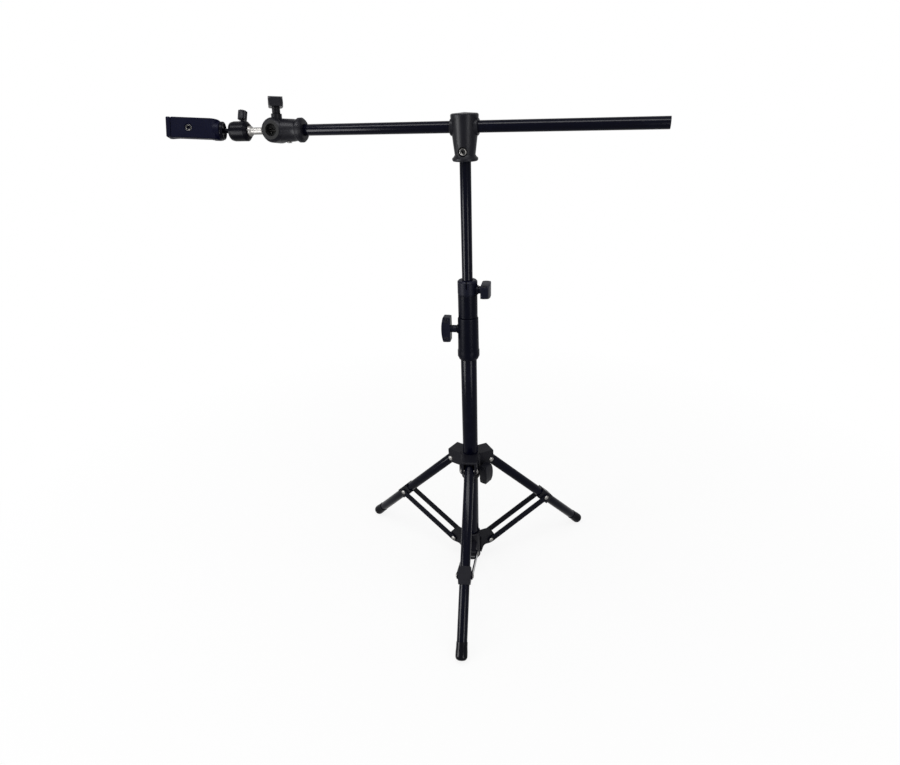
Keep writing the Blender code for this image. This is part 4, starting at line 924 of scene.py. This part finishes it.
for node in ("lower_clamp_knob", "upper_clamp_knob", "hub_knob", "boom_head_knob"):
    place, outer, half = knob_frame(node, node + "_turn")
    slope = math.atan2(WING_TAPER, half * TAPER_ON_WING)
    points = []
    leans = []
    for face in (1, -1):
        for end in (1, -1):
            points.append((outer - ROW_FROM_END, face * WING_FACE, end * half * ROW_ON_WING))
            leans.append((face * end * slope, 0, 0))
    made = ridges.run(start_points(points, lean=leans), plastic)
    made.transform(place)
    add_piece(node + "_ridges", made, plastic, BODY_OF[node])
    print(node, "half length, mm:", round(half * 1000, 1), "ridges:", RIDGES_IN_ROW * len(points))

# %% [markdown]
# The spring that pulls the jaw in and the thread inside the clamp's insert are both a wire wound
# round an axis. One tree winds both: a spiral with a round profile swept along it, with its sizes as
# inputs. A thread is a very short spring that is half sunk in its wall.

# %% Spring and thread
WIRE = 0.4 * MM
THREAD_WIRE = 0.16 * MM
THREAD_R = 2.72 * MM
THREAD_PART = 0.72  # how much of the insert's depth is threaded
winding = Pattern("wound_wire", turns=9.0, radius=2.1 * MM, wire=WIRE, length=20.0 * MM)
path = winding.add(
    "CurveSpiral",
    Resolution=40,
    Rotations=winding.size("turns"),
    Start_Radius=winding.size("radius"),
    End_Radius=winding.size("radius"),
    Height=winding.size("length"),
)
profile = winding.add("CurvePrimitiveCircle", Resolution=12, Radius=winding.size("wire"))
swept = winding.add(
    "CurveToMesh", Curve=path.outputs[0], Profile_Curve=profile.outputs["Curve"], Fill_Caps=True
)
winding.end(swept.outputs[0])


def along_axis(node, axis):
    """The middle line of a round node: its lowest point on the axis, and its length."""
    spots = corners_of(node)
    middle = sum(spots, Vector()) / len(spots)
    runs = [(place - middle).dot(axis) for place in spots]
    return middle + axis * min(runs), max(runs) - min(runs)


def stood_on(point, axis):
    """The matrix that carries an upright shape to this point, along this axis."""
    return Matrix.Translation(point) @ axis.to_track_quat("Z", "Y").to_matrix().to_4x4()


slide_axis = Vector(JOINT["jaw_slide"]["axis"]).normalized()
low, spring_length = along_axis("clamp_spring", slide_axis)
spring = winding.run(start_points([(0, 0, 0)]), nickel, length=spring_length - 2 * WIRE)
spring.transform(stood_on(low + slide_axis * WIRE, slide_axis))
add_piece("clamp_spring_wound", spring, nickel, BODY_OF["clamp_spring"], ["clamp_spring"])

low, depth = along_axis("clamp_insert", INSERT_AXIS)
# The thread takes the near-black finish, painted shade for the inside of the bore.
thread = winding.run(
    start_points([(0, 0, 0)]),
    recess_painted_shade,
    turns=2.5,
    radius=THREAD_R,
    wire=THREAD_WIRE,
    length=depth * THREAD_PART,
)
thread.transform(stood_on(low + INSERT_AXIS * depth * (1 - THREAD_PART) / 2, INSERT_AXIS))
add_piece("clamp_insert_thread", thread, recess_painted_shade, BODY_OF["clamp_insert"])
print("spring length, mm:", round(spring_length * 1000, 1), "thread faces:", len(thread.polygons))
print("packed meshes still shown:", len(set(NODES) - done))

# %% [markdown]
# The stand is shown on plain white, as in a catalogue. More light would bleach the object too, so
# the white is what a camera, a mirror or glass sees of the floor and the world: a glow of strength
# 1. Every other ray sees an ordinary pale floor. Close to the stand an eighth of the real floor
# shows through, which keeps the soft shadow, and further out it fades to the white of the world.

# %% White surroundings
SEEN_RAYS = ("Is Camera Ray", "Is Glossy Ray", "Is Transmission Ray")
FLOOR_HALF = 9
FLOOR_GAP = 0.0002  # below the lowest foot
NEAR_WHITE = 0.87  # how much of the glow shows close to the stand
FADE_FROM = 0.28  # metres from the column, where the glow begins to take over
FADE_OVER = 0.8  # metres that it takes for the glow to be all
FILL = 0.42  # the world's light on the object


def seen(tree):
    """1 for a ray from the camera, a mirror or glass, and 0 for all others."""
    path = tree.nodes.new("ShaderNodeLightPath")
    total = Value(path.outputs[SEEN_RAYS[0]])
    for kind in SEEN_RAYS[1:]:
        total = total + Value(path.outputs[kind])
    return total.clipped()


floor_mesh = bpy.data.meshes.new("floor")
corners = [(FLOOR_HALF * x, FLOOR_HALF * y, 0) for x, y in ((-1, -1), (1, -1), (1, 1), (-1, 1))]
floor_mesh.from_pydata(corners, [], [(0, 1, 2, 3)])
floor = bpy.data.objects.new("floor", floor_mesh)
floor.location.z = cad_box[0][2] - FLOOR_GAP
scene.collection.objects.link(floor)

floor_finish = Finish("white_floor")
floor_finish.set(Base_Color=(0.9, 0.9, 0.9, 1), Roughness=0.9, Specular_IOR_Level=0.0)
glow = floor_finish.add("Emission", Color=(1, 1, 1, 1), Strength=1.0)
away = floor_finish.add("VectorMath", {"operation": "LENGTH"}, Vector=floor_finish.where())
far = ((Value(away.outputs["Value"]) - FADE_FROM) / FADE_OVER).clipped()
shown = floor_finish.add("MixShader")
floor_finish.feed(shown.inputs[0], seen(floor_finish.tree) * (NEAR_WHITE + far * (1 - NEAR_WHITE)))
floor_finish.feed(shown.inputs[1], floor_finish.shader.outputs[0])
floor_finish.feed(shown.inputs[2], glow.outputs[0])
floor_finish.feed(floor_finish.tree.nodes["Material Output"].inputs["Surface"], shown.outputs[0])
floor_mesh.materials.append(floor_finish.material)

world = bpy.data.worlds.new("studio")
scene.world = world
world.use_nodes = True
backdrop = world.node_tree.nodes["Background"]
backdrop.inputs["Color"].default_value = (1, 1, 1, 1)
level = seen(world.node_tree) * (1 - FILL) + FILL
world.node_tree.links.new(level.socket, backdrop.inputs["Strength"])
print("floor and world glow for:", ", ".join(SEEN_RAYS))

# %% [markdown]
# Two kinds of lamp share the work. Soft boxes light the forms and are kept out of reflections. Strip
# cards do the opposite: they are seen in gloss only, as a photographer's cards are, and draw the
# lines down the tubes. A line lies where the surface halves the angle between camera and card. In
# the photograph one is half way out on the left and one a quarter out on the right, so the cards
# stand 64 degrees left and 32 degrees right of the camera. A third, above, draws the bar's line.

# %% Lamps
LOOK_FROM = math.atan2(camera.location.x, -camera.location.y)  # the camera's side of the column
STAND_MIDDLE = (-0.1, 0, 0.45)
BAR_MIDDLE = (-0.1, 0, 0.741)
CARD_DISTANCE = 1.8
CARD_HEIGHT = 0.35


def lamp(name, place, target, width, height, glow, gloss):
    """A lit rectangle of this glow. It is seen either in gloss or by everything else."""
    light = bpy.data.lights.new(name, "AREA")
    light.shape = "RECTANGLE"
    light.size = width
    light.size_y = height
    light.energy = glow * width * height * math.pi
    made = bpy.data.objects.new(name, light)
    made.location = place
    made.rotation_euler = (Vector(target) - Vector(place)).to_track_quat("-Z", "Y").to_euler()
    made.visible_glossy = gloss
    made.visible_diffuse = not gloss
    scene.collection.objects.link(made)


def side_card(name, angle, width, glow):
    """An upright card round the column, this many degrees right of the camera."""
    turn = LOOK_FROM + math.radians(angle)
    place = (math.sin(turn) * CARD_DISTANCE, -math.cos(turn) * CARD_DISTANCE, CARD_HEIGHT)
    lamp(name, place, (0, 0, CARD_HEIGHT), width, height=1.0, glow=glow, gloss=True)


lamp("left_box", (-1.5, -1.3, 1.0), STAND_MIDDLE, width=0.7, height=1.8, glow=3.6, gloss=False)
lamp("right_box", (1.5, -1.0, 1.0), (0.0, 0, 0.45), width=0.7, height=1.8, glow=2.2, gloss=False)
lamp("top_box", (-0.1, -0.3, 2.2), (-0.1, 0, 0.4), width=1.8, height=1.0, glow=3.2, gloss=False)
side_card("left_card", angle=-64, width=0.8, glow=31)
side_card("right_card", angle=32, width=0.5, glow=20)
lamp("bar_card", (-0.1, -0.8, 2.13), BAR_MIDDLE, width=3.0, height=0.5, glow=24, gloss=True)
scene.view_settings.view_transform = "Standard"
